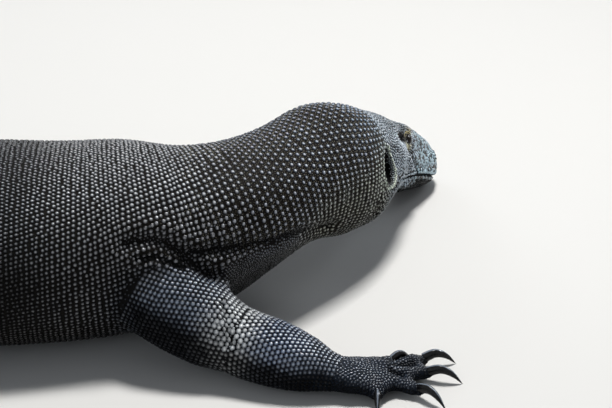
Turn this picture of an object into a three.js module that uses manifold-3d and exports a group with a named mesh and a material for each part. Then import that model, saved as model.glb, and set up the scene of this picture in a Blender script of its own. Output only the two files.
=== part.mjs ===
// A life-size Komodo dragon at rest on its belly, in millimetres, +X forward, +Y to its left, +Z up.
// The origin is on the floor under the middle of the trunk.
import * as THREE from "three";
import { mergeVertices } from "three/addons/utils/BufferGeometryUtils.js";
import Module from "manifold-3d";

const wasm = await Module();
wasm.setup();

// ---- Driving dimensions ----
const headYaw = THREE.MathUtils.degToRad(57); // the head is turned to its left,
const headPitch = THREE.MathUtils.degToRad(-30); // points down at the floor
const headRoll = THREE.MathUtils.degToRad(14); // and leans to its left
const headBase = new THREE.Vector3(563, 193, 127); // centre of the head between the ears
const eyeRadius = 10;
const earRadii = [15.5, 14, 27]; // along, across and up the head
const earSlant = THREE.MathUtils.degToRad(-27); // its lower end is further forward
const seam = 0.4; // width of the cut between two pieces of the body
const clearance = 0.4; // gap left round a piece that is let into another

const materials = {
  hide: new THREE.MeshStandardMaterial({ color: 0x3b3833, roughness: 0.6, metalness: 0 }),
  headHide: new THREE.MeshStandardMaterial({ color: 0x6b6e64, roughness: 0.6, metalness: 0 }),
  claw: new THREE.MeshStandardMaterial({ color: 0x17181b, roughness: 0.25, metalness: 0 }),
  eye: new THREE.MeshStandardMaterial({ color: 0x1c120b, roughness: 0.08, metalness: 0 }),
};

// ---- Solids ----
function toSolid(geometry) {
  const bare = geometry.clone();
  bare.deleteAttribute("normal");
  bare.deleteAttribute("uv");
  const merged = mergeVertices(bare, 1e-4);
  return new wasm.Manifold(
    new wasm.Mesh({
      numProp: 3,
      vertProperties: new Float32Array(merged.attributes.position.array),
      triVerts: new Uint32Array(merged.index.array),
    }),
  );
}

function toMesh(name, solid, material) {
  const { numProp, vertProperties, triVerts } = solid.getMesh();
  const places = new Float32Array((vertProperties.length / numProp) * 3);
  for (let i = 0; i < places.length / 3; i++)
    places.set(vertProperties.subarray(i * numProp, i * numProp + 3), i * 3);
  const geometry = new THREE.BufferGeometry()
    .setAttribute("position", new THREE.BufferAttribute(places, 3))
    .setIndex(new THREE.BufferAttribute(new Uint32Array(triVerts), 1));
  geometry.computeVertexNormals();
  const mesh = new THREE.Mesh(geometry, material);
  mesh.name = name;
  return mesh;
}

// What rests on the floor is cut flat there.
const onFloor = (solid) => solid.trimByPlane([0, 0, 1], 0);

// The largest body of a cut solid, without the slivers that a cut can leave.
const largest = (solid) =>
  solid.decompose().reduce((best, one) => (one.volume() > best.volume() ? one : best));

// A closed skin through rings of points, all with the same number of points.
function skinOver(rings) {
  const sides = rings[0].length;
  const points = rings.flat();
  const index = [];
  for (let r = 0; r + 1 < rings.length; r++)
    for (let i = 0; i < sides; i++) {
      const a = r * sides + i;
      const b = r * sides + ((i + 1) % sides);
      index.push(a, b, b + sides, a, b + sides, a + sides);
    }
  for (const [ring, first, turned] of [
    [rings[0], 0, true],
    [rings.at(-1), (rings.length - 1) * sides, false],
  ]) {
    const middle = ring.reduce((sum, p) => sum.add(p), new THREE.Vector3()).divideScalar(sides);
    points.push(middle);
    for (let i = 0; i < sides; i++) {
      const pair = [first + i, first + ((i + 1) % sides)];
      if (turned) pair.reverse();
      index.push(...pair, points.length - 1);
    }
  }
  return new THREE.BufferGeometry().setFromPoints(points).setIndex(index);
}

// Values named at a few distances, read anywhere between them along a smooth curve.
function smoothTable(rows, columns) {
  const values = rows.flatMap((row) => columns.map((name) => row[name]));
  const curve = new THREE.CubicInterpolant(rows.map((row) => row.s), values, columns.length);
  return (s) => {
    const found = curve.evaluate(s);
    return Object.fromEntries(columns.map((name, i) => [name, found[i]]));
  };
}

// ---- Body: one run of sections from the tail tip to the snout ----
const headForward = new THREE.Vector3(
  Math.cos(headPitch) * Math.cos(headYaw),
  Math.cos(headPitch) * Math.sin(headYaw),
  Math.sin(headPitch),
);
const headLeft = new THREE.Vector3(-Math.sin(headYaw), Math.cos(headYaw), 0).applyAxisAngle(
  headForward,
  -headRoll,
);
const headUp = new THREE.Vector3().crossVectors(headForward, headLeft);
const headTurn = new THREE.Matrix4().makeBasis(headForward, headLeft, headUp);

const inHead = (forward, left, up) =>
  new THREE.Vector3(forward, left, up).applyMatrix4(headTurn).add(headBase);

// Sections of the trunk, neck and tail: centre, half width, height over and depth under the centre.
const bodySections = [
  { name: "tailTip", at: [-1580, 60, 5], wide: 3, over: 4, under: 5 },
  { name: "tailEnd", at: [-1330, 128, 15], wide: 12, over: 17, under: 16 },
  { name: "tailHalf", at: [-1080, 112, 26], wide: 22, over: 29, under: 27 },
  { name: "tailThird", at: [-820, 30, 38], wide: 33, over: 43, under: 40 },
  { name: "tailThick", at: [-600, -18, 54], wide: 52, over: 60, under: 56 },
  { name: "tailBase", at: [-445, -14, 68], wide: 72, over: 72, under: 71 },
  { name: "hips", at: [-330, 0, 82], wide: 104, over: 88, under: 86 },
  { name: "loin", at: [-200, 2, 97], wide: 128, over: 104, under: 101 },
  { name: "belly", at: [-30, 0, 108], wide: 156, over: 117, under: 113 },
  { name: "ribs", at: [140, -2, 110], wide: 150, over: 120, under: 114 },
  { name: "chest", at: [258, 0, 112], wide: 126, over: 121, under: 114 },
  { name: "shoulders", at: [340, 10, 120], wide: 104, over: 114, under: 114 },
  { name: "neckBase", at: [418, 40, 137], wide: 88, over: 88, under: 96 },
  { name: "neckHalf", at: [484, 92, 147], wide: 81, over: 71, under: 84 },
  { name: "neckTop", at: [530, 142, 142], wide: 78, over: 79, under: 92 },
];

// Sections of the head along its own axis, from the ears forward. drop lowers the centre.
const headSections = [
  { name: "nape", t: -24, drop: 7, wide: 72, over: 70, under: 88 },
  { name: "ear", t: 0, drop: 1, wide: 66, over: 59, under: 87 },
  { name: "jawMuscle", t: 28, drop: 0, wide: 63, over: 56, under: 77 },
  { name: "temple", t: 56, drop: 0, wide: 56, over: 52, under: 65 },
  { name: "eye", t: 86, drop: 1, wide: 47, over: 47, under: 53 },
  { name: "foreEye", t: 112, drop: 4, wide: 43, over: 49, under: 46 },
  { name: "bridge", t: 142, drop: 8, wide: 40.5, over: 48, under: 39 },
  { name: "nostril", t: 174, drop: 12, wide: 39, over: 40, under: 29 },
  { name: "lip", t: 196, drop: 14, wide: 33, over: 29, under: 21 },
  { name: "snoutTip", t: 208, drop: 15, wide: 20, over: 15, under: 12 },
];

const spine = [
  ...bodySections.map(({ name, at, wide, over, under }) => ({
    name, x: at[0], y: at[1], z: at[2], wide, over, under,
  })),
  ...headSections.map(({ name, t, drop, wide, over, under }) => {
    const { x, y, z } = inHead(t, 0, -drop);
    return { name, x, y, z, wide, over, under };
  }),
];
spine.forEach((row, i) => {
  const before = spine[i - 1];
  row.s = before ? before.s + Math.hypot(row.x - before.x, row.y - before.y, row.z - before.z) : 0;
});
const placeOf = Object.fromEntries(spine.map((row) => [row.name, row.s]));
const bodyAt = smoothTable(spine, ["x", "y", "z", "wide", "over", "under"]);
const bodyEnd = placeOf.snoutTip;

// Swellings and hollows on both sides of the body. angle is in degrees, 0 at the side and 90 on top.
const swellings = [
  { name: "jaw muscle", s: placeOf.jawMuscle, angle: -8, height: 5, along: 24, across: 38 },
  { name: "brow", s: placeOf.eye + 7, angle: 50, height: 8, along: 21, across: 14 },
  { name: "eye socket", s: placeOf.eye + 2, angle: 30, height: -5, along: 13, across: 12 },
  { name: "temple hollow", s: placeOf.temple - 2, angle: 42, height: -3, along: 16, across: 22 },
  { name: "snout edge", s: placeOf.bridge, angle: 48, height: 2.5, along: 26, across: 16 },
  { name: "nostril", s: placeOf.nostril + 4, angle: 34, height: 2.5, along: 10, across: 18 },
  { name: "shoulder blade", s: placeOf.chest + 30, angle: 42, height: 9, along: 60, across: 26 },
  { name: "neck crease", s: placeOf.neckBase + 60, angle: -36, height: -9, along: 70, across: 13 },
  { name: "throat", s: placeOf.neckTop + 6, angle: -90, height: 4, along: 60, across: 50 },
  { name: "angle of the jaw", s: placeOf.ear - 4, angle: -48, height: 9, along: 34, across: 26 },
  { name: "hip bone", s: placeOf.hips, angle: 55, height: 5, along: 40, across: 20 },
];

function swellingAt(s, degrees) {
  let sum = 0;
  for (const { s: middle, angle, height, along, across } of swellings)
    for (const side of [angle, 180 - angle]) {
      const turn = THREE.MathUtils.euclideanModulo(degrees - side + 180, 360) - 180;
      sum += height * Math.exp(-(((s - middle) / along) ** 2) - (turn / across) ** 2);
    }
  return sum;
}

// The frame of the body there. The head's lean comes in along the neck.
const spineFrame = (s) => {
  const { x, y, z, ...size } = bodyAt(s);
  const [ahead, behind] = [Math.min(s + 2, bodyEnd), Math.max(s - 2, 0)].map(bodyAt);
  const forward = new THREE.Vector3(ahead.x - behind.x, ahead.y - behind.y, ahead.z - behind.z);
  forward.normalize();
  const lean = headRoll * THREE.MathUtils.smoothstep(s, placeOf.neckBase, placeOf.nape);
  const left = new THREE.Vector3(0, 0, 1).cross(forward).normalize().applyAxisAngle(forward, -lean);
  return { centre: new THREE.Vector3(x, y, z), forward, left, up: forward.clone().cross(left), ...size };
};

// One ring of the body. A squareness over 2 fills the corners of the ellipse, more so on the head.
const bodySquareness = 2.15;
const headSquareness = 2.5;

function bodyRing(s, sides, grow) {
  const { centre, left, up, wide, over, under } = spineFrame(s);
  const toHead = THREE.MathUtils.smoothstep(s, placeOf.nape, placeOf.eye);
  const squareness = THREE.MathUtils.lerp(bodySquareness, headSquareness, toHead);
  return Array.from({ length: sides }, (_, i) => {
    const angle = (i / sides) * 2 * Math.PI;
    const [c, d] = [Math.cos(angle), Math.sin(angle)];
    const reach = (Math.abs(c) ** squareness + Math.abs(d) ** squareness) ** (-1 / squareness);
    const height = d > 0 ? over : under;
    const extra = grow + swellingAt(s, THREE.MathUtils.radToDeg(angle));
    return centre
      .clone()
      .addScaledVector(left, c * (wide * reach + extra))
      .addScaledVector(up, d * (height * reach + extra));
  });
}

// A length of the body. ease over 1 sets the rings closer towards its front.
function bodyLength(from, to, steps, sides, { grow = 0, ease = 1 } = {}) {
  const rings = Array.from({ length: steps + 1 }, (_, i) => {
    const share = 1 - (1 - i / steps) ** ease;
    return bodyRing(THREE.MathUtils.lerp(from, to, share), sides, grow);
  });
  return toSolid(skinOver(rings));
}

// The lengths that the body is cut into, from the back of the head to the tip of the tail.
const headStart = placeOf.ear - 32;
const lengths = [
  { name: "neck", from: placeOf.neckBase, to: headStart, steps: 8, sides: 20 },
  { name: "chest", from: placeOf.ribs + 30, to: placeOf.neckBase, steps: 6, sides: 20 },
  { name: "belly", from: placeOf.loin + 40, to: placeOf.ribs + 30, steps: 5, sides: 20 },
  { name: "pelvis", from: placeOf.tailBase, to: placeOf.loin + 40, steps: 6, sides: 20 },
  { name: "tail_base", from: placeOf.tailThird, to: placeOf.tailBase, steps: 5, sides: 16 },
  { name: "tail_middle", from: placeOf.tailEnd, to: placeOf.tailThird, steps: 6, sides: 12 },
  { name: "tail_tip", from: 0, to: placeOf.tailEnd, steps: 3, sides: 10 },
];

// The neck, trunk and root of the tail, grown by the clearance: the limbs are cut with them.
const bodyCutter = lengths
  .slice(0, 5)
  .map(({ from, to, steps, sides }) => bodyLength(from, to, steps, sides, { grow: clearance }))
  .reduce((whole, one) => whole.add(one));

// ---- Limbs ----
// A bar with rounded ends between two joints. girths are [wide, high] halves at its start, middle and end.
const barSteps = 6;
const barSides = 12;
const palmSides = 10;
const endShare = 0.7; // the rounded ends pass the joints by this share of the girth there
const lastTurn = 0.03; // the end rings stop this share of a half turn short of the tips

function roundedEnd(along) {
  return (1 - Math.abs(along) ** 4.5) ** 0.385;
}

function bar(from, to, girths, { grow = 0, sides = barSides } = {}) {
  const start = new THREE.Vector3(...from);
  const end = new THREE.Vector3(...to);
  const forward = end.clone().sub(start);
  const length = forward.length();
  forward.normalize();
  const left = new THREE.Vector3(0, 0, 1).cross(forward).normalize();
  const up = forward.clone().cross(left);
  const girth = smoothTable(
    girths.map(([wide, high], i) => ({ s: i / (girths.length - 1), wide, high })),
    ["wide", "high"],
  );
  const rings = [];
  for (let i = 0; i <= barSteps; i++) {
    const along = -Math.cos(Math.PI * THREE.MathUtils.lerp(lastTurn, 1 - lastTurn, i / barSteps));
    const fade = roundedEnd(along);
    const share = (along + 1) / 2;
    const { wide, high } = girth(share);
    const overhang = endShare * (along < 0 ? girths[0][0] : girths.at(-1)[0]);
    const centre = start.clone().addScaledVector(forward, share * length + along * overhang);
    rings.push(
      Array.from({ length: sides }, (_, k) => {
        const angle = (k / sides) * 2 * Math.PI;
        return centre
          .clone()
          .addScaledVector(left, Math.cos(angle) * (wide * fade + grow))
          .addScaledVector(up, Math.sin(angle) * (high * fade + grow));
      }),
    );
  }
  return toSolid(skinOver(rings));
}

// A tapering tube along a smooth curve. girths are half widths from the start to the end.
function taper(points, girths, sides, steps, { grow = 0, tall = 1 } = {}) {
  const curve = new THREE.CatmullRomCurve3(points, false, "centripetal");
  const girth = smoothTable(girths.map((r, i) => ({ s: i / (girths.length - 1), r })), ["r"]);
  const rings = Array.from({ length: steps + 1 }, (_, i) => {
    const share = i / steps;
    const forward = curve.getTangentAt(share);
    const left = new THREE.Vector3(0, 0, 1).cross(forward).normalize();
    const up = forward.clone().cross(left);
    const r = girth(share).r + grow;
    const centre = curve.getPointAt(share);
    return Array.from({ length: sides }, (_, k) => {
      const angle = ((k + 0.5) / sides) * 2 * Math.PI;
      return centre
        .clone()
        .addScaledVector(left, Math.cos(angle) * r)
        .addScaledVector(up, Math.sin(angle) * r * tall);
    });
  });
  return toSolid(skinOver(rings));
}

// One foot: its palm, five digits and five claws. heading is the way that it points, in degrees. Each
// digit has its direction from that, its knuckle's distance from the palm's middle, and its claw's length.
// side is 1 on the left.
const foreDigits = [
  { turn: 46, reach: 48, claw: 32 },
  { turn: 26, reach: 82, claw: 42 },
  { turn: 5, reach: 76, claw: 44 },
  { turn: -25, reach: 66, claw: 44 },
  { turn: -76, reach: 36, claw: 34 },
];
const hindDigits = [
  { turn: 48, reach: 64, claw: 30 },
  { turn: 28, reach: 88, claw: 34 },
  { turn: 8, reach: 106, claw: 36 },
  { turn: -12, reach: 118, claw: 36 },
  { turn: -64, reach: 62, claw: 32 },
];
const digitStations = [0.2, 0.5, 0.78]; // shares of the reach, before the knuckle
const digitGirths = [13, 12.5, 10.5, 12, 8];
const digitHeights = [15, 14.5, 11.5, 12.8, 9.5];
const toePad = 9; // from the knuckle to the end of the digit
const clawStations = [0.06, 0.36, 0.74, 1]; // shares of the claw's length
const clawGirths = [5.6, 5, 3.2, 0.6];
const clawHeights = [14.5, 19, 12.5, 0.8];
const clawBend = 22; // claws point outwards from their digits
const digitTall = 1.08; // height of a section over its width
const clawTall = 1.3;

const palmWidth = 36;

function foot({ ankle, palm, heading, digits, side }) {
  const middle = new THREE.Vector3(...palm);
  const way = (degrees) => {
    const angle = THREE.MathUtils.degToRad(heading - side * degrees);
    return new THREE.Vector3(Math.cos(angle), Math.sin(angle), 0);
  };
  const along = (start, direction, distance, height) =>
    start.clone().addScaledVector(direction, distance).setZ(height);
  const front = along(middle, way(0), palmWidth * 0.5, palm[2]);
  const palmGirths = [[palmWidth * 0.68, 24], [palmWidth, 20], [palmWidth * 0.9, 14]];
  let whole = bar(ankle, front.toArray(), palmGirths, { sides: palmSides });
  const claws = [];
  digits.forEach(({ turn, reach, claw }) => {
    const direction = way(turn);
    const outwards = way(turn - clawBend);
    const knuckle = along(middle, direction, reach, digitHeights[3]);
    const line = [
      ...digitStations.map((share, i) => along(middle, direction, reach * share, digitHeights[i])),
      knuckle,
      along(knuckle, outwards, toePad, digitHeights[4]),
    ];
    const nail = clawStations.map((share, i) => along(knuckle, outwards, claw * share, clawHeights[i]));
    const grownDigit = taper(line, digitGirths, 6, 4, { grow: clearance, tall: digitTall });
    whole = whole.add(taper(line, digitGirths, 6, 4, { tall: digitTall }));
    claws.push(largest(onFloor(taper(nail, clawGirths, 5, 3, { tall: clawTall }).subtract(grownDigit))));
  });
  return { pad: onFloor(whole), claws };
}

// ---- Poses of the four limbs: joints from the body outwards ----
const limbs = {
  fore_right: {
    side: -1,
    joints: [[304, -80, 96], [410, -122, 48], [538, -170, 28]],
    root: [[58, 62], [57, 56], [49, 47]],
    shaft: [[47, 46], [45, 42], [28, 24]],
    ankle: [544, -170, 25],
    palm: [582, -160, 17],
    heading: 6,
    digits: foreDigits,
  },
  fore_left: {
    side: 1,
    joints: [[304, 84, 98], [286, 190, 50], [392, 262, 28]],
    root: [[58, 62], [56, 54], [49, 47]],
    shaft: [[47, 46], [45, 42], [28, 24]],
    ankle: [398, 266, 25],
    palm: [432, 290, 17],
    heading: 38,
    digits: foreDigits,
  },
  hind_right: {
    side: -1,
    joints: [[-322, -78, 92], [-212, -192, 68], [-318, -276, 34]],
    root: [[66, 70], [60, 62], [50, 50]],
    shaft: [[49, 48], [45, 43], [29, 26]],
    ankle: [-316, -280, 27],
    palm: [-262, -300, 18],
    heading: -22,
    digits: hindDigits,
  },
  hind_left: {
    side: 1,
    joints: [[-322, 78, 92], [-196, 176, 66], [-318, 246, 34]],
    root: [[66, 70], [60, 62], [50, 50]],
    shaft: [[49, 48], [45, 43], [29, 26]],
    ankle: [-316, 250, 27],
    palm: [-264, 276, 18],
    heading: 28,
    digits: hindDigits,
  },
};

const segmentNames = {
  fore: ["upper_arm", "forearm", "hand"],
  hind: ["thigh", "shank", "foot"],
};

function limbPieces(key) {
  const { joints, root, shaft } = limbs[key];
  const [end, hand] = key.split("_");
  const names = segmentNames[end].map((name) => `${name}_${hand}`);
  const upper = bar(joints[0], joints[1], root);
  const lower = bar(joints[1], joints[2], shaft);
  const { pad, claws } = foot(limbs[key]);
  const upperGrown = bar(joints[0], joints[1], root, { grow: clearance });
  const lowerGrown = bar(joints[1], joints[2], shaft, { grow: clearance });
  const cutUpper = largest(onFloor(upper.subtract(bodyCutter)));
  const cutLower = largest(onFloor(lower.subtract(upperGrown).subtract(bodyCutter)));
  const cutFoot = largest(pad.subtract(lowerGrown).subtract(upperGrown).subtract(bodyCutter));
  return [
    toMesh(names[0], cutUpper, materials.hide),
    toMesh(names[1], cutLower, materials.hide),
    toMesh(names[2], cutFoot, materials.hide),
    ...claws.map((claw, i) => toMesh(`claw_${end}_${hand}_${i + 1}`, claw, materials.claw)),
  ];
}

// ---- Head: the cranium and the lower jaw meet along the mouth, and each eye sits in its socket ----
const eyePlace = (side) => new THREE.Vector3(86, side * 36, 21.5);
const earPlace = (side) => new THREE.Vector3(-13, side * 71, -14);
const eyeBall = new THREE.SphereGeometry(eyeRadius, 9, 6);

// What is given in the head's own axes, placed where the head is.
const placedInHead = (geometry, { x, y, z }) =>
  geometry
    .translate(x, y, z)
    .applyMatrix4(headTurn)
    .translate(...headBase.toArray());

// The line of the mouth seen from the side of the head: distance forward and height.
const mouthLine = [
  [-90, -24], [30, -23], [56, -30], [80, -30], [105, -25], [135, -22], [165, -21.5], [215, -21],
];
const belowHead = -160;
const besideHead = 110;

function underMouth(lift) {
  const line = new THREE.SplineCurve(mouthLine.map(([t, z]) => new THREE.Vector2(t, z + lift)));
  const shape = new THREE.Shape([
    ...line.getPoints(mouthLine.length),
    new THREE.Vector2(mouthLine.at(-1)[0], belowHead),
    new THREE.Vector2(mouthLine[0][0], belowHead),
  ]);
  const block = new THREE.ExtrudeGeometry(shape, { depth: 2 * besideHead, bevelEnabled: false });
  return toSolid(placedInHead(block.rotateX(Math.PI / 2), new THREE.Vector3(0, besideHead, 0)));
}

// Both ear openings, each let into the back of the head and a little of the neck.
const withEars = (solid) =>
  [-1, 1].reduce((left, side) => {
    const ear = new THREE.SphereGeometry(1, 7, 5).scale(...earRadii).rotateY(earSlant);
    return left.subtract(toSolid(placedInHead(ear, earPlace(side))));
  }, solid);

function headPieces() {
  let head = withEars(onFloor(bodyLength(headStart + seam / 2, bodyEnd, 14, 20, { ease: 1.4 })));
  for (const side of [-1, 1]) {
    const socketScale = 1 + clearance / eyeRadius;
    const socket = eyeBall.clone().scale(socketScale, socketScale, socketScale);
    head = head.subtract(toSolid(placedInHead(socket, eyePlace(side))));
  }
  return [
    toMesh("cranium", largest(head.subtract(underMouth(seam / 2))), materials.headHide),
    toMesh("lower_jaw", largest(head.intersect(underMouth(-seam / 2))), materials.headHide),
  ];
}

// The eyes, in a group that is turned as the head is.
function eyes() {
  const group = new THREE.Group();
  group.position.copy(headBase);
  group.quaternion.setFromRotationMatrix(headTurn);
  for (const [name, side] of [["eye_right", -1], ["eye_left", 1]]) {
    const eye = new THREE.Mesh(eyeBall, materials.eye);
    eye.name = name;
    eye.position.copy(eyePlace(side));
    group.add(eye);
  }
  return group;
}

// ---- Neck, trunk and tail ----
function trunkPieces() {
  return lengths.map(({ name, from, to, steps, sides }) => {
    const start = from === 0 ? 0 : from + seam / 2;
    const length = onFloor(bodyLength(start, to - seam / 2, steps, sides));
    return toMesh(name, name === "neck" ? largest(withEars(length)) : length, materials.hide);
  });
}

// ---- The whole animal ----
const dragon = new THREE.Group();
dragon.add(...headPieces(), eyes(), ...trunkPieces());
for (const key of Object.keys(limbs)) dragon.add(...limbPieces(key));

export default dragon;
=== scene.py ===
import math

import bpy
import numpy as np
from mathutils import Matrix, Vector
from mathutils.bvhtree import BVHTree
from mathutils.kdtree import KDTree


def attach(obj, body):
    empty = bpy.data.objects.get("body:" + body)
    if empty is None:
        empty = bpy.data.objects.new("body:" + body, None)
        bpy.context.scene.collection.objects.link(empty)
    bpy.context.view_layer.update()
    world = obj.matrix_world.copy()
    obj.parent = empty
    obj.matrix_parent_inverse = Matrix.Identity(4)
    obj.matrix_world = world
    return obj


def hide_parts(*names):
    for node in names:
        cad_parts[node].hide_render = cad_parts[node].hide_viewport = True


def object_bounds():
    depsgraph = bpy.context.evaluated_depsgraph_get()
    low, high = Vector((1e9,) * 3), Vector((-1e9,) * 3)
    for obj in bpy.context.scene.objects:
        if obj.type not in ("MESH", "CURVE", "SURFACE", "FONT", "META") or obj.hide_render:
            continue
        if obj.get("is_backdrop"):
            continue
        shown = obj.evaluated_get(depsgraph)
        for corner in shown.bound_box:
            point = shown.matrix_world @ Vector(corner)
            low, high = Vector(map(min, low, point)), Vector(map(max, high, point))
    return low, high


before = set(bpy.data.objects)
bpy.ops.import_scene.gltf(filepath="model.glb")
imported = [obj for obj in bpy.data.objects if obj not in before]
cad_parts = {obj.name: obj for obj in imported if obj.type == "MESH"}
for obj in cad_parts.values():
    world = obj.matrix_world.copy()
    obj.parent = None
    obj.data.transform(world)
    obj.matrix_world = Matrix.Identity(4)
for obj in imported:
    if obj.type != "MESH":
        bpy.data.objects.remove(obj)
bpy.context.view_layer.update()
draw = np.random.default_rng(1912)
millimetre = 0.001

# Places on the animal, as the solids have them
head = {"yaw": math.radians(57), "pitch": math.radians(-30), "roll": math.radians(14),
        "base": (0.563, 0.193, 0.127)}
bodySections = {  # centre of each section
    "tailTip": (-1.580, 0.060, 0.005), "tailEnd": (-1.330, 0.128, 0.015),
    "tailHalf": (-1.080, 0.112, 0.026), "tailThird": (-0.820, 0.030, 0.038),
    "tailThick": (-0.600, -0.018, 0.054), "tailBase": (-0.445, -0.014, 0.068),
    "hips": (-0.330, 0.000, 0.082), "loin": (-0.200, 0.002, 0.097),
    "belly": (-0.030, 0.000, 0.108), "ribs": (0.140, -0.002, 0.110), "chest": (0.258, 0.000, 0.112),
    "shoulders": (0.340, 0.010, 0.120), "neckBase": (0.418, 0.040, 0.137),
    "neckHalf": (0.484, 0.092, 0.147), "neckTop": (0.530, 0.142, 0.142),
}
headSections = {  # distance forward from between the ears, and how far under the head's axis
    "nape": (-0.024, 0.007), "ear": (0.000, 0.001), "jawMuscle": (0.028, 0.000), "temple": (0.056, 0.000),
    "eye": (0.086, 0.001), "foreEye": (0.112, 0.004), "bridge": (0.142, 0.008), "nostril": (0.174, 0.012),
    "lip": (0.196, 0.014), "snoutTip": (0.208, 0.015),
}
mouthLine = ((0.030, -0.023), (0.056, -0.030), (0.080, -0.030), (0.105, -0.025),
             (0.135, -0.022), (0.165, -0.0215), (0.215, -0.021))  # forward and up, in the head's axes
eye = {"at": (0.086, 0.036, 0.0215), "radius": 0.010, "looks": (0.0, 0.95, 0.30), "open": (0.0078, 0.0068)}
ear = {"at": (-0.0155, 0.071, -0.0175), "half": (0.0130, 0.0240), "slant": math.radians(-28),
       "deep": 0.009, "narrow": 0.30, "from": 0.035}
nostril = {"at": (0.182, 0.006), "half": (0.0050, 0.0030), "from": 0.010}  # forward and up

# Each digit: degrees from the way the foot points, distance of its knuckle from the palm, length of its claw
foreDigits = (
    (46, 0.048, 0.032), (26, 0.082, 0.042), (5, 0.076, 0.044), (-25, 0.066, 0.044), (-76, 0.036, 0.034),
)
hindDigits = (
    (48, 0.064, 0.030), (28, 0.088, 0.034), (8, 0.106, 0.036), (-12, 0.118, 0.036), (-64, 0.062, 0.032),
)
limbs = {  # joints from the body outwards, then the foot: palm, the way it points, and its digits
    "fore_right": {
        "joints": ((0.304, -0.080, 0.096), (0.410, -0.122, 0.048), (0.538, -0.170, 0.028)),
        "side": -1, "palm": (0.582, -0.160, 0.017), "heading": 6, "digits": foreDigits},
    "fore_left": {
        "joints": ((0.304, 0.084, 0.098), (0.286, 0.190, 0.050), (0.392, 0.262, 0.028)),
        "side": 1, "palm": (0.432, 0.290, 0.017), "heading": 38, "digits": foreDigits},
    "hind_right": {
        "joints": ((-0.322, -0.078, 0.092), (-0.212, -0.192, 0.068), (-0.318, -0.276, 0.034)),
        "side": -1, "palm": (-0.262, -0.300, 0.018), "heading": -22, "digits": hindDigits},
    "hind_left": {
        "joints": ((-0.322, 0.078, 0.092), (-0.196, 0.176, 0.066), (-0.318, 0.246, 0.034)),
        "side": 1, "palm": (-0.264, 0.276, 0.018), "heading": 28, "digits": hindDigits},
}
for limb in limbs.values():
    limb["joints"] = np.array(limb["joints"])
    limb["palm"] = np.array(limb["palm"])

headNodes = ("cranium", "lower_jaw")
trunkNodes = ("neck", "chest", "belly", "pelvis", "tail_base", "tail_middle", "tail_tip")
limbParts = {"fore": ("upper_arm", "forearm", "hand"), "hind": ("thigh", "shank", "foot")}
limbNodes = {}
for key in limbs:
    end, hand = key.split("_")
    limbNodes[key] = [f"{part}_{hand}" for part in limbParts[end]]
fleshNodes = [*headNodes, *trunkNodes, *sum(limbNodes.values(), [])]


# Small helpers
def activate(piece):
    if bpy.context.object and bpy.context.object.mode != "OBJECT":
        bpy.ops.object.mode_set(mode="OBJECT")
    bpy.ops.object.select_all(action="DESELECT")
    if piece:
        piece.select_set(True)
        bpy.context.view_layer.objects.active = piece


def placed(name, data):
    piece = bpy.data.objects.new(name, data)
    bpy.context.scene.collection.objects.link(piece)
    return piece


def endFacingOut():
    # Ends an edit with every face turned outwards.
    bpy.ops.mesh.select_all(action="SELECT")
    bpy.ops.mesh.normals_make_consistent(inside=False)
    bpy.ops.object.mode_set(mode="OBJECT")


def finishWith(piece, kind, **settings):
    activate(piece)
    modifier = piece.modifiers.new(kind.lower(), kind)
    for key, value in settings.items():
        setattr(modifier, key, value)
    bpy.ops.object.modifier_apply(modifier=modifier.name)


def unit(vectors):
    return vectors / np.maximum(np.linalg.norm(vectors, axis=-1, keepdims=True), 1e-12)


def apart(points, place):
    return np.linalg.norm(points - place, axis=1)


def smoothStep(x, low, high):
    t = np.clip((x - low) / (high - low), 0, 1)
    return t * t * (3 - 2 * t)


def bell(distance, width):
    return np.exp(-((distance / width) ** 2))


def vertexArray(mesh, what="co"):
    source, field = (mesh.vertices, "co") if what == "co" else (mesh.vertex_normals, "vector")
    values = np.empty(len(source) * 3, np.float32)
    source.foreach_get(field, values)
    return values.reshape(-1, 3).astype(float)


def setVertices(mesh, places):
    mesh.vertices.foreach_set("co", places.astype(np.float32).ravel())
    mesh.update()


def nearTree(points):
    tree = KDTree(len(points))
    for i, p in enumerate(points):
        tree.insert(p, i)
    tree.balance()
    return tree


# The body's line and the head's axes
cosPitch = math.cos(head["pitch"])
headForward = np.array((cosPitch * math.cos(head["yaw"]), cosPitch * math.sin(head["yaw"]),
                        math.sin(head["pitch"])))
levelLeft = np.array((-math.sin(head["yaw"]), math.cos(head["yaw"]), 0.0))
headLeft = levelLeft * math.cos(head["roll"]) - np.cross(headForward, levelLeft) * math.sin(head["roll"])
headUp = np.cross(headForward, headLeft)
headAxes = np.array((headForward, headLeft, headUp))
headBase = np.array(head["base"])


def inHead(forward, left, up):
    return headBase + np.array((forward, left, up)) @ headAxes


def headPlace(points):
    return (points - headBase) @ headAxes.T


lineNames = [*bodySections, *headSections]
linePoints = np.array([*bodySections.values(), *(inHead(t, 0, -drop) for t, drop in headSections.values())])
lineAt = np.concatenate(([0], np.cumsum(np.linalg.norm(np.diff(linePoints, axis=0), axis=1))))
placeOf = dict(zip(lineNames, lineAt))


def smoothLine(at, points, wanted):
    slope = np.gradient(points, at, axis=0)
    i = np.clip(np.searchsorted(at, wanted, side="right") - 1, 0, len(at) - 2)
    span = (at[i + 1] - at[i])[:, None]
    t = ((wanted - at[i]) / span[:, 0])[:, None]
    return ((1 + 2 * t) * (1 - t) ** 2 * points[i] + t * (1 - t) ** 2 * span * slope[i]
            + t * t * (3 - 2 * t) * points[i + 1] + t * t * (t - 1) * span * slope[i + 1])


lineStep = 0.004
stations = np.arange(0, lineAt[-1], lineStep)
centres = smoothLine(lineAt, linePoints, stations)
forwards = unit(np.gradient(centres, axis=0))
# the head's lean comes in along the neck
lean = (head["roll"] * smoothStep(stations, placeOf["neckBase"], placeOf["nape"]))[:, None]
lefts = unit(np.cross((0, 0, 1), forwards))
lefts = lefts * np.cos(lean) - np.cross(forwards, lefts) * np.sin(lean)
ups = np.cross(forwards, lefts)


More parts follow.
